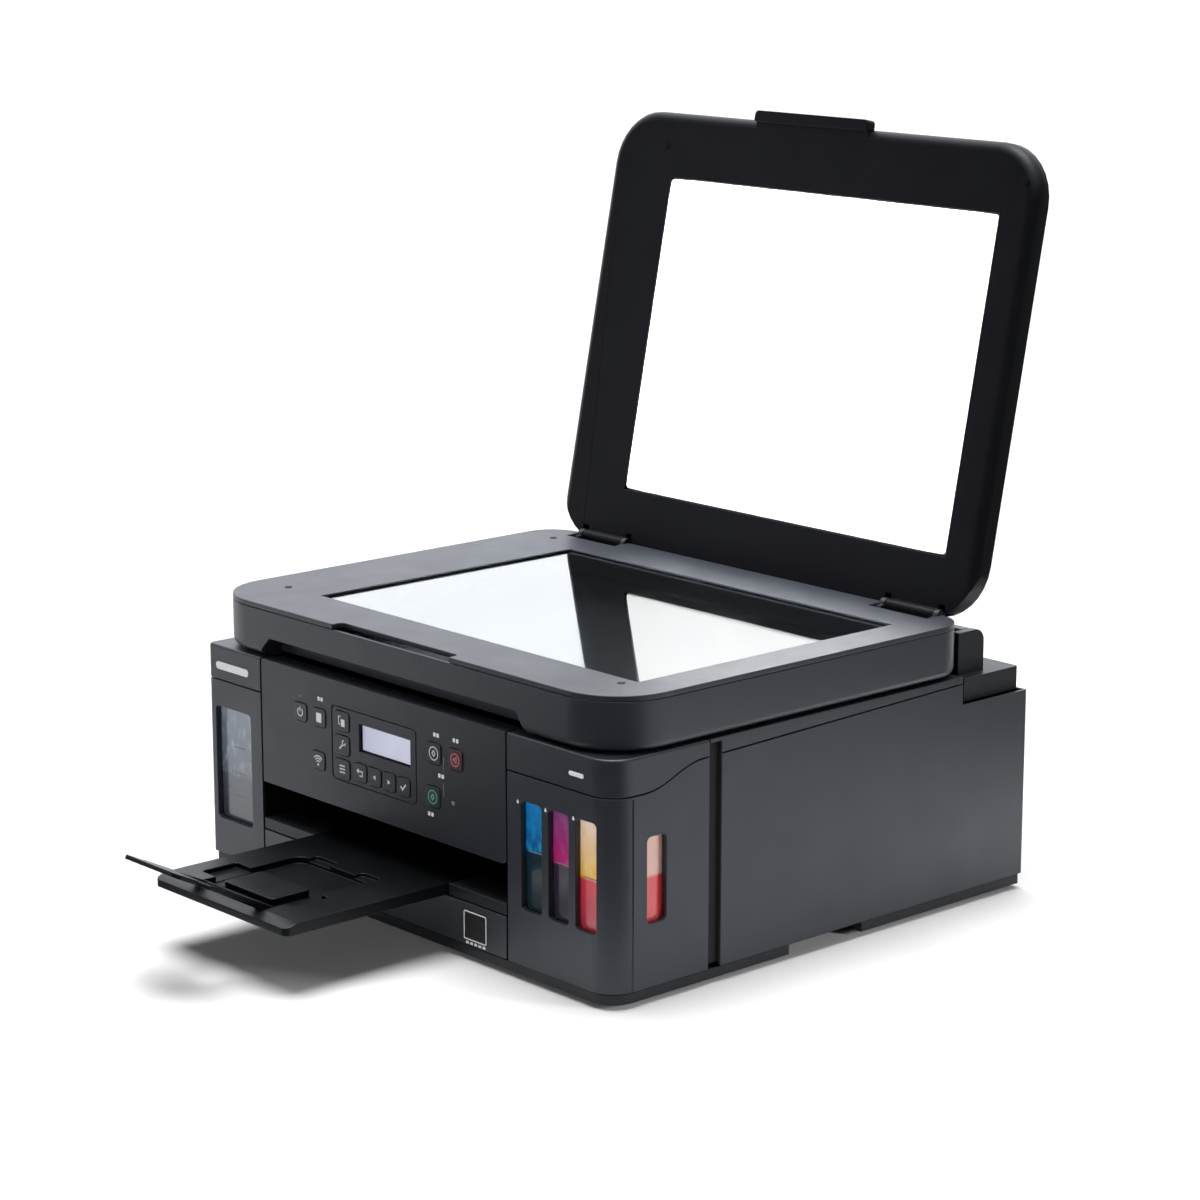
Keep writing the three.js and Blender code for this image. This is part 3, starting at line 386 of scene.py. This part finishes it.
def world():
    """A white room. In reflections its far side and its ceiling are bright, and its near side is dark, with a
    faint panel at the right. To the camera it is plain white."""
    made = bpy.data.worlds.new("studio")
    bpy.context.scene.world = made
    made.use_nodes = True
    tree = made.node_tree
    link = tree.links.new
    coords = tree.nodes.new("ShaderNodeTexCoord")
    rays = tree.nodes.new("ShaderNodeLightPath")

    def zone(direction, ends):
        """Brightness by how nearly a ray points in a direction."""
        facing = tree.nodes.new("ShaderNodeVectorMath")
        facing.operation = "DOT_PRODUCT"
        facing.inputs[1].default_value = direction
        ramp = tree.nodes.new("ShaderNodeMapRange")
        ramp.interpolation_type = "SMOOTHSTEP"
        for key, value in zip(("From Min", "From Max", "To Min", "To Max"), ends):
            ramp.inputs[key].default_value = value
        link(coords.outputs["Generated"], facing.inputs[0])
        link(facing.outputs["Value"], ramp.inputs["Value"])
        return ramp.outputs["Result"]

    mirrored = zone(look_from(DARK_SIDE, 0), (-0.8, -0.13, BACKDROP, 0.05))
    ceiling = zone((0, 0, 1), (0.5, 0.8, 0, 2.0))
    panel = zone(look_from(*SIDE_PANEL), (0.86, 0.98, 0, 0.5))
    for other in (ceiling, panel):
        brighter = tree.nodes.new("ShaderNodeMath")
        brighter.operation = "MAXIMUM"
        link(mirrored, brighter.inputs[0])
        link(other, brighter.inputs[1])
        mirrored = brighter.outputs[0]
    strength = tree.nodes["Background"].inputs["Strength"]
    seen = tree.nodes.new("ShaderNodeMix")
    seen.inputs[2].default_value = ROOM_FILL
    link(rays.outputs["Is Glossy Ray"], seen.inputs[0])
    link(mirrored, seen.inputs[3])
    shown = tree.nodes.new("ShaderNodeMix")
    shown.inputs[3].default_value = 1.1
    link(rays.outputs["Is Camera Ray"], shown.inputs[0])
    link(seen.outputs[0], shown.inputs[2])
    link(shown.outputs[0], strength)
    tree.nodes["Background"].inputs["Color"].default_value = (0.93, 0.955, 1, 1)


def card(name, colour, outline):
    """A card lying on the floor and seen only in reflections, as a photographer lays one."""
    mesh = bpy.data.meshes.new(name)
    form = bmesh.new()
    form.faces.new([form.verts.new(point) for point in outline])
    bmesh.ops.triangulate(form, faces=form.faces)
    form.to_mesh(mesh)
    form.free()
    mesh.materials.append(moulded(f"{name}_cloth", colour, 0.9))
    made = bpy.data.objects.new(name, mesh)
    made.location.z = 0.001
    for ray in ("camera", "diffuse", "transmission", "shadow", "volume_scatter"):
        setattr(made, f"visible_{ray}", False)
    bpy.context.scene.collection.objects.link(made)


def reflected_cards():
    """A black fan between the printer and the camera, and a grey card on the right behind the printer."""
    centre, turn = at(0, 0, 0), FLAG_SIDES[1] - FLAG_SIDES[0]
    angles = [FLAG_SIDES[0] + turn * i / 12 for i in range(13)]
    fan = [centre + look_from(angle, 0) * FLAG_NEAR for angle in angles]
    fan += [centre + look_from(angle, 0) * FLAG_FAR for angle in reversed(angles)]
    card("black_card", "#050505", fan)
    card("grey_card", "#505050", [at(300, 380, 0), at(3000, 150, 0), at(3000, 4000, 0), at(300, 4000, 0)])


def studio():
    camera()
    floor()
    world()
    reflected_cards()
    overhead_sun()
    soft_light("front_softbox", 10, 5, 2.5, 0.42, 34)
    soft_light("pad_softbox", -12, 40, 1.6, 0.4, 4, aim=(18, 150, 340), spread=12)
    soft_light("side_softbox", 120, 16, 2.6, 0.5, 1.1, aim=(460, 60, 0), spread=24)
    bpy.context.scene.view_settings.view_transform = "Standard"


# ---------------------------------------------------------------- CAD nodes
def soften(node, width, rim=None, rim_width=0.0, segments=2):
    """Rounds a CAD node's edges. Its mesh stays as packed: the rounding is all in modifiers.
    rim picks the vertices of the edges that get the larger rim_width."""
    made = frame["nodes"][node]
    weld = made.modifiers.new("weld", "WELD")
    weld.merge_threshold = 1e-5
    flat = made.modifiers.new("flat_faces", "DECIMATE")
    flat.decimate_type, flat.angle_limit = "DISSOLVE", math.radians(1)
    if rim:
        group = made.vertex_groups.new(name="rim")
        group.add([v.index for v in made.data.vertices if rim(v.co)], 1.0, "REPLACE")
        large = made.modifiers.new("rim", "BEVEL")
        large.limit_method, large.vertex_group = "VGROUP", "rim"
        large.width, large.segments, large.use_clamp_overlap = metres(rim_width), 4, False
    small = made.modifiers.new("edges", "BEVEL")
    small.limit_method, small.angle_limit = "ANGLE", math.radians(32)
    small.width, small.segments, small.use_clamp_overlap = metres(width), segments, False
    for polygon in made.data.polygons:
        polygon.use_smooth = True
    made.modifiers.new("shading", "WEIGHTED_NORMAL")


def on_rim(height, inset=0.3):
    """Picks the vertices of the outer edge at one height, in millimetres."""
    level, corner = metres(height), 19
    half_w, half_d = metres(BODY_HALF_W - inset), metres(BODY_HALF_D - inset)

    def test(co):
        x, y = abs(co.x), abs(co.y - CENTRE_Y)
        round_corner = x > metres(BODY_HALF_W - corner) and y > metres(BODY_HALF_D - corner)
        return abs(co.z - level) < 1e-4 and (x > half_w or y > half_d or round_corner)

    return test


def dress(nodes, material, width, **rim):
    """Gives CAD nodes a material and rounded edges."""
    for node in nodes.split():
        made = frame["nodes"][node]
        made.data.materials.clear()
        made.data.materials.append(MATERIALS[material])
        soften(node, width, **rim)


# ---------------------------------------------------------------- drawn pieces
SIDES = {  # each side's own across, up and outward directions
    "front": ((1, 0, 0), (0, 0, 1), (0, -1, 0)),
    "back": ((-1, 0, 0), (0, 0, 1), (0, 1, 0)),
    "top": ((1, 0, 0), (0, 1, 0), (0, 0, 1)),
    "under": ((1, 0, 0), (0, -1, 0), (0, 0, -1)),
}


def circle(radius, steps=24, centre=(0, 0), start=0, sweep=360):
    """Points round a circle, or along an arc of it with both its ends."""
    count = steps if sweep == 360 else steps + 1
    angles = [math.radians(start + sweep * i / steps) for i in range(count)]
    return [(centre[0] + radius * math.cos(a), centre[1] + radius * math.sin(a)) for a in angles]


def rounded(width, height, radius, centre=(0, 0), steps=4):
    """A rectangle with rounded corners round a centre."""
    points = []
    for i, (sx, sy) in enumerate(((1, 1), (-1, 1), (-1, -1), (1, -1))):
        corner = (centre[0] + sx * (width / 2 - radius), centre[1] + sy * (height / 2 - radius))
        points += circle(radius, steps, corner, start=90 * i, sweep=90)
    return points


def line_edges(points, width, closed):
    """Both edges of a line of one width through the points, mitred at its corners."""
    ends = (points[-1], points[0]) if closed else (None, None)
    edges = ([], [])
    for before, here, after in zip([ends[0], *points], points, [*points[1:], ends[1]]):
        ways = [Vector(b) - Vector(a) for a, b in ((before, here), (here, after)) if a and b]
        ways = [way.normalized() for way in ways]
        along = sum(ways, Vector((0, 0))).normalized()
        reach = width / 2 / max(0.4, along.dot(ways[0]))
        across = Vector((-along.y, along.x)) * reach
        edges[0].append(Vector(here) + across)
        edges[1].append(Vector(here) - across)
    return edges


class Drawing:
    """One mesh drawn in millimetres on a side of the printer, round an origin.
    u runs across, v up, and w out of that side."""

    def __init__(self, side, x, y, z):
        axes = Matrix(SIDES[side]).transposed().to_4x4()
        self.place = Matrix.Translation(at(x, y, z)) @ axes @ Matrix.Scale(MM, 4)
        self.form = bmesh.new()

    def point(self, u, v, w):
        return self.form.verts.new(self.place @ Vector((u, v, w)))

    def area(self, points, low, high):
        """A flat plate with the outline given."""
        self.skin([[(*p, low) for p in points], [(*p, high) for p in points]], caps=True)

    def line(self, points, width, low, high, closed=False):
        left, right = line_edges(points, width, closed)
        rings = [[(*a, low), (*b, low), (*b, high), (*a, high)] for a, b in zip(left, right)]
        self.skin(rings, caps=not closed, closed=closed)

    def lathe(self, profile, steps=24, centre=(0, 0)):
        """Radius and height pairs turned round the outward direction."""
        self.skin([[(*p, w) for p in circle(r, steps, centre)] for r, w in profile], caps=True)

    def skin(self, rings, caps=False, closed=False):
        """Joins rings that have one number of points each."""
        rows = [[self.point(*p) for p in ring] for ring in rings]
        pairs = zip(rows, rows[1:] + rows[:1]) if closed else zip(rows, rows[1:])
        for low, high in pairs:
            for i in range(len(low)):
                j = (i + 1) % len(low)
                self.form.faces.new((low[i], low[j], high[j], high[i]))
        if caps:
            self.form.faces.new(reversed(rows[0]))
            self.form.faces.new(rows[-1])

    def turn(self, matrix):
        bmesh.ops.transform(self.form, matrix=matrix, verts=self.form.verts)

    def finish(self, name, body, material, edge=0.0):
        """Makes the object. edge is the width of its rounded edges."""
        bmesh.ops.recalc_face_normals(self.form, faces=self.form.faces)
        mesh = bpy.data.meshes.new(name)
        self.form.to_mesh(mesh)
        self.form.free()
        mesh.materials.append(MATERIALS[material])
        made = bpy.data.objects.new(name, mesh)
        bpy.context.scene.collection.objects.link(made)
        if edge:
            bevel = made.modifiers.new("edges", "BEVEL")
            bevel.limit_method, bevel.angle_limit = "ANGLE", math.radians(32)
            bevel.width, bevel.segments, bevel.use_clamp_overlap = metres(edge), 2, True
            for polygon in mesh.polygons:
                polygon.use_smooth = True
            made.modifiers.new("shading", "WEIGHTED_NORMAL")
        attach(made, body)
        return made


PRINT_LOW, PRINT_HIGH = -0.05, 0.12  # a printed mark starts in the surface and stands just proud of it
FRONT = -BODY_HALF_D
KEY_FACE = FRONT - 0.6


def printed_mark(name, body, material, slot, origin, areas=(), lines=(), scale=1.0):
    """Flat marks. Each area is an outline; each line is its points, its width and whether it closes."""
    drawing = Drawing("front", *origin)
    for points in areas:
        drawing.area([(u * scale, v * scale) for u, v in points], PRINT_LOW, PRINT_HIGH)
    for points, width, closed in lines:
        scaled = [(u * scale, v * scale) for u, v in points]
        drawing.line(scaled, width * scale, PRINT_LOW, PRINT_HIGH, closed)
    drawing.finish(name, body, material)


def triangle(size, way=1):
    """A triangle that points right, or left when way is -1."""
    return [(way * size, 0), (-way * size * 0.7, size), (-way * size * 0.7, -size)]


def diamond(size):
    return [(0, size), (-size * 0.8, 0), (0, -size), (size * 0.8, 0)]


KEY_MARKS = {
    "power": (-99, 127, {
        "lines": [(circle(2.2, 20, start=125, sweep=290), 0.6, False), ([(0, 0.4), (0, 3)], 0.6, False)],
    }),
    "info": (-79, 127, {"areas": [rounded(4.4, 5.2, 0.5)]}),
    "wireless": (-80.5, 98, {
        "areas": [circle(0.7, 12, (0, -2.2))],
        "lines": [(circle(r, 10, (0, -2.2), start=45, sweep=90), 0.6, False) for r in (2, 3.4, 4.8)],
    }),
    "copy": (-55, 129.2, {
        "areas": [rounded(3.2, 4, 0.4, (1, -0.7))],
        "lines": [([(-0.9, 2.6), (-2.6, 2.6), (-2.6, -1.6), (-1.4, -1.6)], 0.5, False)],
    }),
    "setup": (-55, 113.4, {
        "lines": [
            ([(-2.1, -2.1), (1.1, 1.1)], 1, False),
            (circle(1.3, 12, (1.6, 1.6), start=90, sweep=270), 0.7, False),
        ],
    }),
    "menu": (-55, 97.6, {"lines": [([(-2.2, v), (2.2, v)], 0.7, False) for v in (-1.8, 0, 1.8)]}),
    "back": (-36.6, 99, {
        "areas": [[(-2.9, 0.8), (-1.1, -0.7), (-1.1, 2.3)]],
        "lines": [([(-1.2, 0.8), (2, 0.8), (2, -1.7), (-0.4, -1.7)], 0.6, False)],
    }),
    "minus": (-21.8, 99, {"areas": [triangle(1.3, -1)]}),
    "plus": (-7.2, 99, {"areas": [triangle(1.3)]}),
    "ok": (7.4, 99, {"lines": [([(-2.1, 0.2), (-0.6, -1.5), (2.2, 1.7)], 0.8, False)]}),
    "black_start": (38, 127.4, {"lines": [(circle(3.5), 0.45, True), (diamond(1.5), 0.5, True)]}),
    "stop": (58.8, 127.4, {"lines": [(circle(3.3), 0.5, True), (triangle(1.5, -1), 0.5, True)]}),
    "colour_start": (36.6, 99, {"lines": [(circle(3.5), 0.45, True), (diamond(1.5), 0.6, True)]}),
}
KEY_MARK_SCALE = 1.2
KEY_INKS = {"stop": ("pink", "key_stop"), "colour_start": ("green", "key_colour")}


def key_marks():
    for key, (x, z, shapes) in KEY_MARKS.items():
        ink, slot = KEY_INKS.get(key, ("white", "sheet"))
        origin = (x, KEY_FACE, z)
        printed_mark(f"mark_{key}", f"button_{key}", ink, slot, origin, scale=KEY_MARK_SCALE, **shapes)


def panel_marks():
    """Captions become pairs of plain bars."""
    captions = {
        "info": (-78, 139.5), "black": (40, 139.5), "stop": (59, 139.7),
        "colour": (44.5, 114), "lamp": (34, 87.3),
    }
    for name, (x, z) in captions.items():
        bars = [rounded(2.3, 2.6, 0.5, (u, 0)) for u in (-1.6, 1.6)]
        printed_mark(f"caption_{name}", "operation_panel", "white", "sheet", (x, FRONT, z), areas=bars)
    links = [([(47, 117.5), (47, 127)], 0.5, False), ([(47, 101), (47, 110)], 0.5, False)]
    printed_mark("caption_link_lines", "operation_panel", "grey", "keys", (0, FRONT, 0), lines=links)
    lamps = {"lamp_power": (-99, 137.6, 0.8), "lamp_status": (56, 99, 1.5)}
    for name, (x, z, radius) in lamps.items():
        lamp = Drawing("front", x, FRONT, z)
        lamp.lathe([(radius, -0.4), (radius, 0.15), (radius * 0.6, 0.3)], 16)
        lamp.finish(name, "operation_panel", "grey", edge=0.05)


def shell_marks():
    """Plain bars where the maker's and the model's names stand, and plain drops beside the ink windows."""
    badges = {"left": (-174, 141.4, 36, 5.2), "right": (170.8, 142, 13, 2.8)}
    for name, (x, z, width, height) in badges.items():
        badge = Drawing("front", x, FRONT, z)
        badge.area(rounded(width, height, height / 2.2), -0.1, 0.35)
        badge.finish(f"badge_{name}", "housing", "white", edge=0.12)
    drop = circle(0.95, 14, (0, -0.3), start=-220, sweep=260) + [(0, 1.5)]
    for name, x, z in (("cyan", 117.5, 113.8), ("magenta", 142.9, 114), ("yellow", 168, 114.4)):
        printed_mark(f"drop_{name}", "housing", "white", "sheet", (x, FRONT, z), areas=[drop])
    mark_x, mark_z = 76.1, 22.3
    printed_mark(
        "paper_size_mark", "cassette", "white", "sheet", (mark_x, FRONT, mark_z),
        areas=[rounded(2.6, 1.6, 0.3, (u, -10.2)) for u in (-7.5, -3.5, 0.5, 4.5, 8.5)],
        lines=[(rounded(21, 18, 1, (0, 1)), 0.7, True)],
    )
    field = rounded(19, 16, 0.6)
    printed_mark("paper_size_field", "cassette", "black", "keys", (mark_x, FRONT, mark_z + 1), areas=[field])


def tank_marks():
    """Level lines on the tanks' faces."""
    face = FRONT + 4.5
    for height in (52, 68, 86):
        line = ([(-7, 0), (6, 0)], 0.7, False)
        printed_mark(f"level_black_{height}", "housing", "grey", "keys", (-174, face, height), lines=[line])
    for name, x, z in (("cyan", 130, 83), ("magenta", 155, 81.5), ("yellow", 179, 78.5)):
        line = ([(-8, 0), (8, 0)], 0.6, False)
        printed_mark(f"level_{name}", "housing", "grey", "keys", (x, face, z), lines=[line])


# ---------------------------------------------------------------- fittings
def cross_point(angle, arm=1.7, half=0.45):
    """Where a ray leaves a cross-shaped recess."""
    c, s = abs(math.cos(angle)), abs(math.sin(angle))
    reach = max(min(arm / max(c, 1e-6), half / max(s, 1e-6)), min(half / max(c, 1e-6), arm / max(s, 1e-6)))
    return reach * math.cos(angle), reach * math.sin(angle)


def screw(name, body, side, x, y, z, radius=3.2):
    """A domed screw head with a cross recess."""
    drawing = Drawing(side, x, y, z)
    steps = 48
    angles = [2 * math.pi * i / steps for i in range(steps)]
    cross = [cross_point(a) for a in angles]
    dome = ((radius, -0.1), (radius, 0.5), (radius * 0.8, 1.1))
    rings = [[(*p, w) for p in circle(r, steps)] for r, w in dome]
    rings += [[(*p, w) for p in cross] for w in (1.2, 0.3)]
    drawing.skin(rings, caps=True)
    drawing.finish(name, body, "steel")


def rear_fittings():
    """Screws, a blank plate, and the insides of the sockets."""
    back = BODY_HALF_D
    for i, (x, z) in enumerate(((-178, 124), (178, 124), (-178, 16), (178, 16), (40, 124))):
        screw(f"screw_rear_{i + 1}", "housing", "back", x, back, z)
    plate = Drawing("back", 20, back, 60)
    plate.area(rounded(70, 34, 2), -0.05, 0.3)
    plate.finish("rating_plate_blank", "housing", "grey", edge=0.1)
    for name, x, z, width, height in (("usb", 156.2, 65.7, 11, 9.8), ("network", 137, 66, 12.4, 10.4)):
        shell = Drawing("back", x, back - 4, z)
        shell.line(rounded(width, height, 0.8), 0.5, 0, 3.6, closed=True)
        shell.finish(f"socket_{name}_shell", "housing", "steel", edge=0.1)
        tongue = Drawing("back", x, back - 4, z)
        tongue.area(rounded(width * 0.5, height * 0.3, 0.4), 0, 2.8)
        tongue.finish(f"socket_{name}_tongue", "housing", "inner", edge=0.15)
    for i, x in enumerate((-174.4, -167.6)):
        pin = Drawing("back", x, back - 10.6, 35)
        pin.lathe([(1.2, 0), (1.2, 6.2), (0.7, 7)], 14)
        pin.finish(f"inlet_pin_{i + 1}", "housing", "steel", edge=0.1)


def groove_shade_liners():
    """Dark rubber strips that line the grooves between the front covers and the side covers, laid in as
    painted shade so that the grooves look deep and dark.
    """
    floor, face, front, back, thick = 197.7, 201.2, -104.3, -94.6, 0.35
    section = [
        (floor - 0.05, front), (floor + thick, front), (floor + thick, back - thick),
        (face, back - thick), (face, back + 0.05), (floor - 0.05, back + 0.05),
    ]
    for name, side in (("right", 1), ("left", -1)):
        dark_strip = Drawing("top", 0, 0, 12.5)
        dark_strip.area([(side * x, y) for x, y in section], 0, 141)
        dark_strip.finish(f"groove_shade_liner_{name}", "housing", "rubber")


def under_fittings():
    """Screws, a blank label, and collars round the feet."""
    for i, (x, y) in enumerate(((-120, -100), (120, -60), (-120, 120), (120, 120), (0, 150), (-175, 0))):
        screw(f"screw_under_{i + 1}", "housing", "under", x, y, PAN_BOTTOM, radius=2.6)
    label = Drawing("under", 60, 60, PAN_BOTTOM)
    label.area(rounded(60, 30, 2), -0.05, 0.25)
    label.finish("under_label_blank", "housing", "grey", edge=0.1)
    for name, (x, y) in FEET.items():
        ring = Drawing("under", x, y, PAN_BOTTOM)
        ring.line(circle(11.2), 1.6, -0.1, 0.9, closed=True)
        ring.finish(f"foot_collar_{name}", "housing", "inner", edge=0.3)


def top_fittings():
    """Screws on the deck and the rail, and the tanks' caps, which show when the scanner is raised."""
    cap_teeth = 48
    for i, (x, y) in enumerate(((-170, -75), (170, -75), (-170, 108), (170, 108))):
        screw(f"screw_deck_{i + 1}", "housing", "top", x, y, DECK_TOP, radius=2.6)
    for name, x in (("black", -173), ("cyan", 127.8), ("magenta", 154.4), ("yellow", 181.6)):
        cap = Drawing("top", x, -150, 139)
        ribs = [(8.4 + 0.5 * (i % 2)) for i in range(cap_teeth)]
        angles = [2 * math.pi * i / cap_teeth for i in range(cap_teeth)]
        grip = [(r * math.cos(a), r * math.sin(a)) for r, a in zip(ribs, angles)]
        top = circle(7.6, cap_teeth)
        cap.skin([[(*p, 0.1) for p in grip], [(*p, 6) for p in grip], [(*p, 7) for p in top]], caps=True)
        cap.finish(f"tank_cap_{name}", "housing", "key")
    for i, x in enumerate((-132, 96)):
        screw(f"screw_rail_{i + 1}", "housing", "top", x, 55, 140, radius=2.4)


def carriage_fittings():
    """Clamps over the print heads and nipples for the ink tubes."""
    for name, x in (("left", -37.5), ("right", 1.5)):
        holder = Drawing("top", x, 23, 140)
        holder.area(rounded(35, 34, 2), -0.1, 1.6)
        holder.area(rounded(14, 5, 1.5, (0, -12)), 1.5, 3.2)
        holder.finish(f"head_clamp_{name}", "print_carriage", "key", edge=0.4)
    for i, x in enumerate((-49, -27, -9, 13)):
        nipple = Drawing("top", x, 33, 141.4)
        nipple.lathe([(2.4, 0), (2.4, 1.2), (1.3, 1.5), (1.3, 3)], 16)
        nipple.finish(f"tube_nipple_{i + 1}", "print_carriage", "gear", edge=0.15)


def scanner_fittings():
    """The light bar on the scan carriage, and rubber dots for the cover to close on."""
    lamp = Drawing("top", -168, -27, 184.4)
    lamp.area(rounded(3, 196, 1), 0, 0.8)
    lamp.finish("scan_lamp", "scan_carriage", "sheet", edge=0.2)
    for i, (x, y) in enumerate(((-171, -139), (-172, 98), (169, -147))):
        dot = Drawing("top", x, y, SCANNER_TOP)
        dot.lathe([(2.6, -0.2), (2.6, 0.25), (1.9, 0.42)], 18)
        dot.finish(f"bezel_bumper_{i + 1}", "scanner_unit", "rubber")


def opened(drawing):
    """Turns a piece drawn on the closed document cover back to where the cover stands open."""
    axis = Matrix.Translation(at(*LID_AXIS))
    drawing.turn(axis @ Matrix.Rotation(math.radians(-LID_OPEN), 4, "X") @ axis.inverted())


def cover_fittings():
    """Dots near the cover's free edge."""
    for i, x in enumerate((-145, 189)):
        dot = Drawing("under", x, -158, 191.5)
        dot.lathe([(2.8, -0.2), (2.8, 0.25), (2, 0.42)], 18)
        opened(dot)
        dot.finish(f"cover_bumper_{i + 1}", "document_cover", "bumper")


def cover_pad():
    """The white pad under the document cover: foam with a crowned face, rolled edges and round corners."""
    x0, x1, y0, y1 = -136.3, 170.1, -135.6, 86.5
    face, back, roll, corner, crown = 191.4, 199.2, 2.2, 4, 0.7
    near_edge = [0, 0.1, 0.35, 0.8, 1.4, roll]

    def stations(low, high):
        inner = [low + roll + (high - low - 2 * roll) * i / 18 for i in range(1, 18)]
        return [low + d for d in near_edge] + inner + [high - d for d in reversed(near_edge)]

    def shape(x, y):
        depth = min(x - x0, x1 - x, y - y0, y1 - y, roll)
        rolled = roll - math.sqrt(max(0, roll**2 - (roll - depth) ** 2))
        u, v = 2 * (x - x0) / (x1 - x0) - 1, 2 * (y - y0) / (y1 - y0) - 1
        crowned = crown * (1 - u**2) * (1 - v**2)
        centre = Vector((min(max(x, x0 + corner), x1 - corner), min(max(y, y0 + corner), y1 - corner)))
        out = Vector((x, y)) - centre
        if out.x and out.y:
            out *= max(abs(out.x), abs(out.y)) / out.length
        return centre.x + out.x, centre.y + out.y, face + rolled - crowned

    pad = Drawing("top", 0, 0, 0)
    across, along = stations(x0, x1), stations(y0, y1)
    grid = [[pad.point(*shape(x, y)) for x in across] for y in along]
    for low, high in zip(grid, grid[1:]):
        for i in range(len(low) - 1):
            pad.form.faces.new((low[i], low[i + 1], high[i + 1], high[i]))
    rim = grid[0] + [row[-1] for row in grid[1:-1]] + grid[-1][::-1] + [row[0] for row in grid[-2:0:-1]]
    raised = [pad.form.verts.new((v.co.x, v.co.y, metres(back))) for v in rim]
    for i in range(len(rim)):
        j = (i + 1) % len(rim)
        pad.form.faces.new((rim[i], rim[j], raised[j], raised[i]))
    pad.form.faces.new(raised)
    opened(pad)
    made = pad.finish("cover_pad", "document_cover", "sheet")
    for polygon in made.data.polygons:
        polygon.use_smooth = True
    made.modifiers.new("shading", "WEIGHTED_NORMAL")
    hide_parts("cover_sheet")


# ---------------------------------------------------------------- the printer
studio()
dress("base_pan", "inner", 0.4)
dress("foot_front_left foot_front_right foot_rear_left foot_rear_right", "rubber", 0.6)
dress("right_front_cover left_front_cover", "shell", 0.4)
dress("right_side_cover left_side_cover rear_cover", "shell", 0.4)
# the rear block gets the darker copy of the black: painted shade
dress("rear_tray_frame rear_tray_cover", "rear", 0.4)
dress("right_ink_cover left_ink_cover", "shell", 0.4, rim=on_rim(DECK_TOP), rim_width=1.6)
dress("top_frame", "shell", 0.4)
dress("operation_panel", "panel", 0.35)
dress("lcd_module", "lcd", 0.1)
for name in frame["nodes"]:
    if name.startswith("button_"):
        dress(name, {"button_stop": "key_stop", "button_colour_start": "key_colour"}.get(name, "key"), 0.4)
for ink in ("black", "cyan", "magenta", "yellow"):
    dress(f"ink_tank_{ink}", f"ink_{ink}", 0.6)
dress("main_frame power_supply paper_platen", "inner", 0.3)
dress("feed_roller eject_roller pickup_roller carriage_belt", "rubber", 0.2)
dress("idler_gear", "gear", 0.15)
dress("carriage_rail carriage_motor", "steel", 0.2)
dress("lid_hinge_left lid_hinge_right", "hinge", 0.3)
dress("print_carriage scan_carriage", "panel", 0.4)
dress("main_board", "board", 0.15)
dress("cassette", "shell", 0.4)
dress("output_tray_frame", "inner", 0.4)
dress("output_tray output_flap", "tray", 0.5)
dress("paper_guide_left paper_guide_right", "inner", 0.3)
dress("scanner_case scanner_bezel", "shell", 0.5)
dress("platen_glass", "glass", 0.2)
dress("document_cover", "lid", 0.5)

key_marks()
panel_marks()
shell_marks()
tank_marks()
rear_fittings()
# dark strips in the side grooves: painted shade
groove_shade_liners()
under_fittings()
top_fittings()
carriage_fittings()
scanner_fittings()
cover_fittings()
cover_pad()
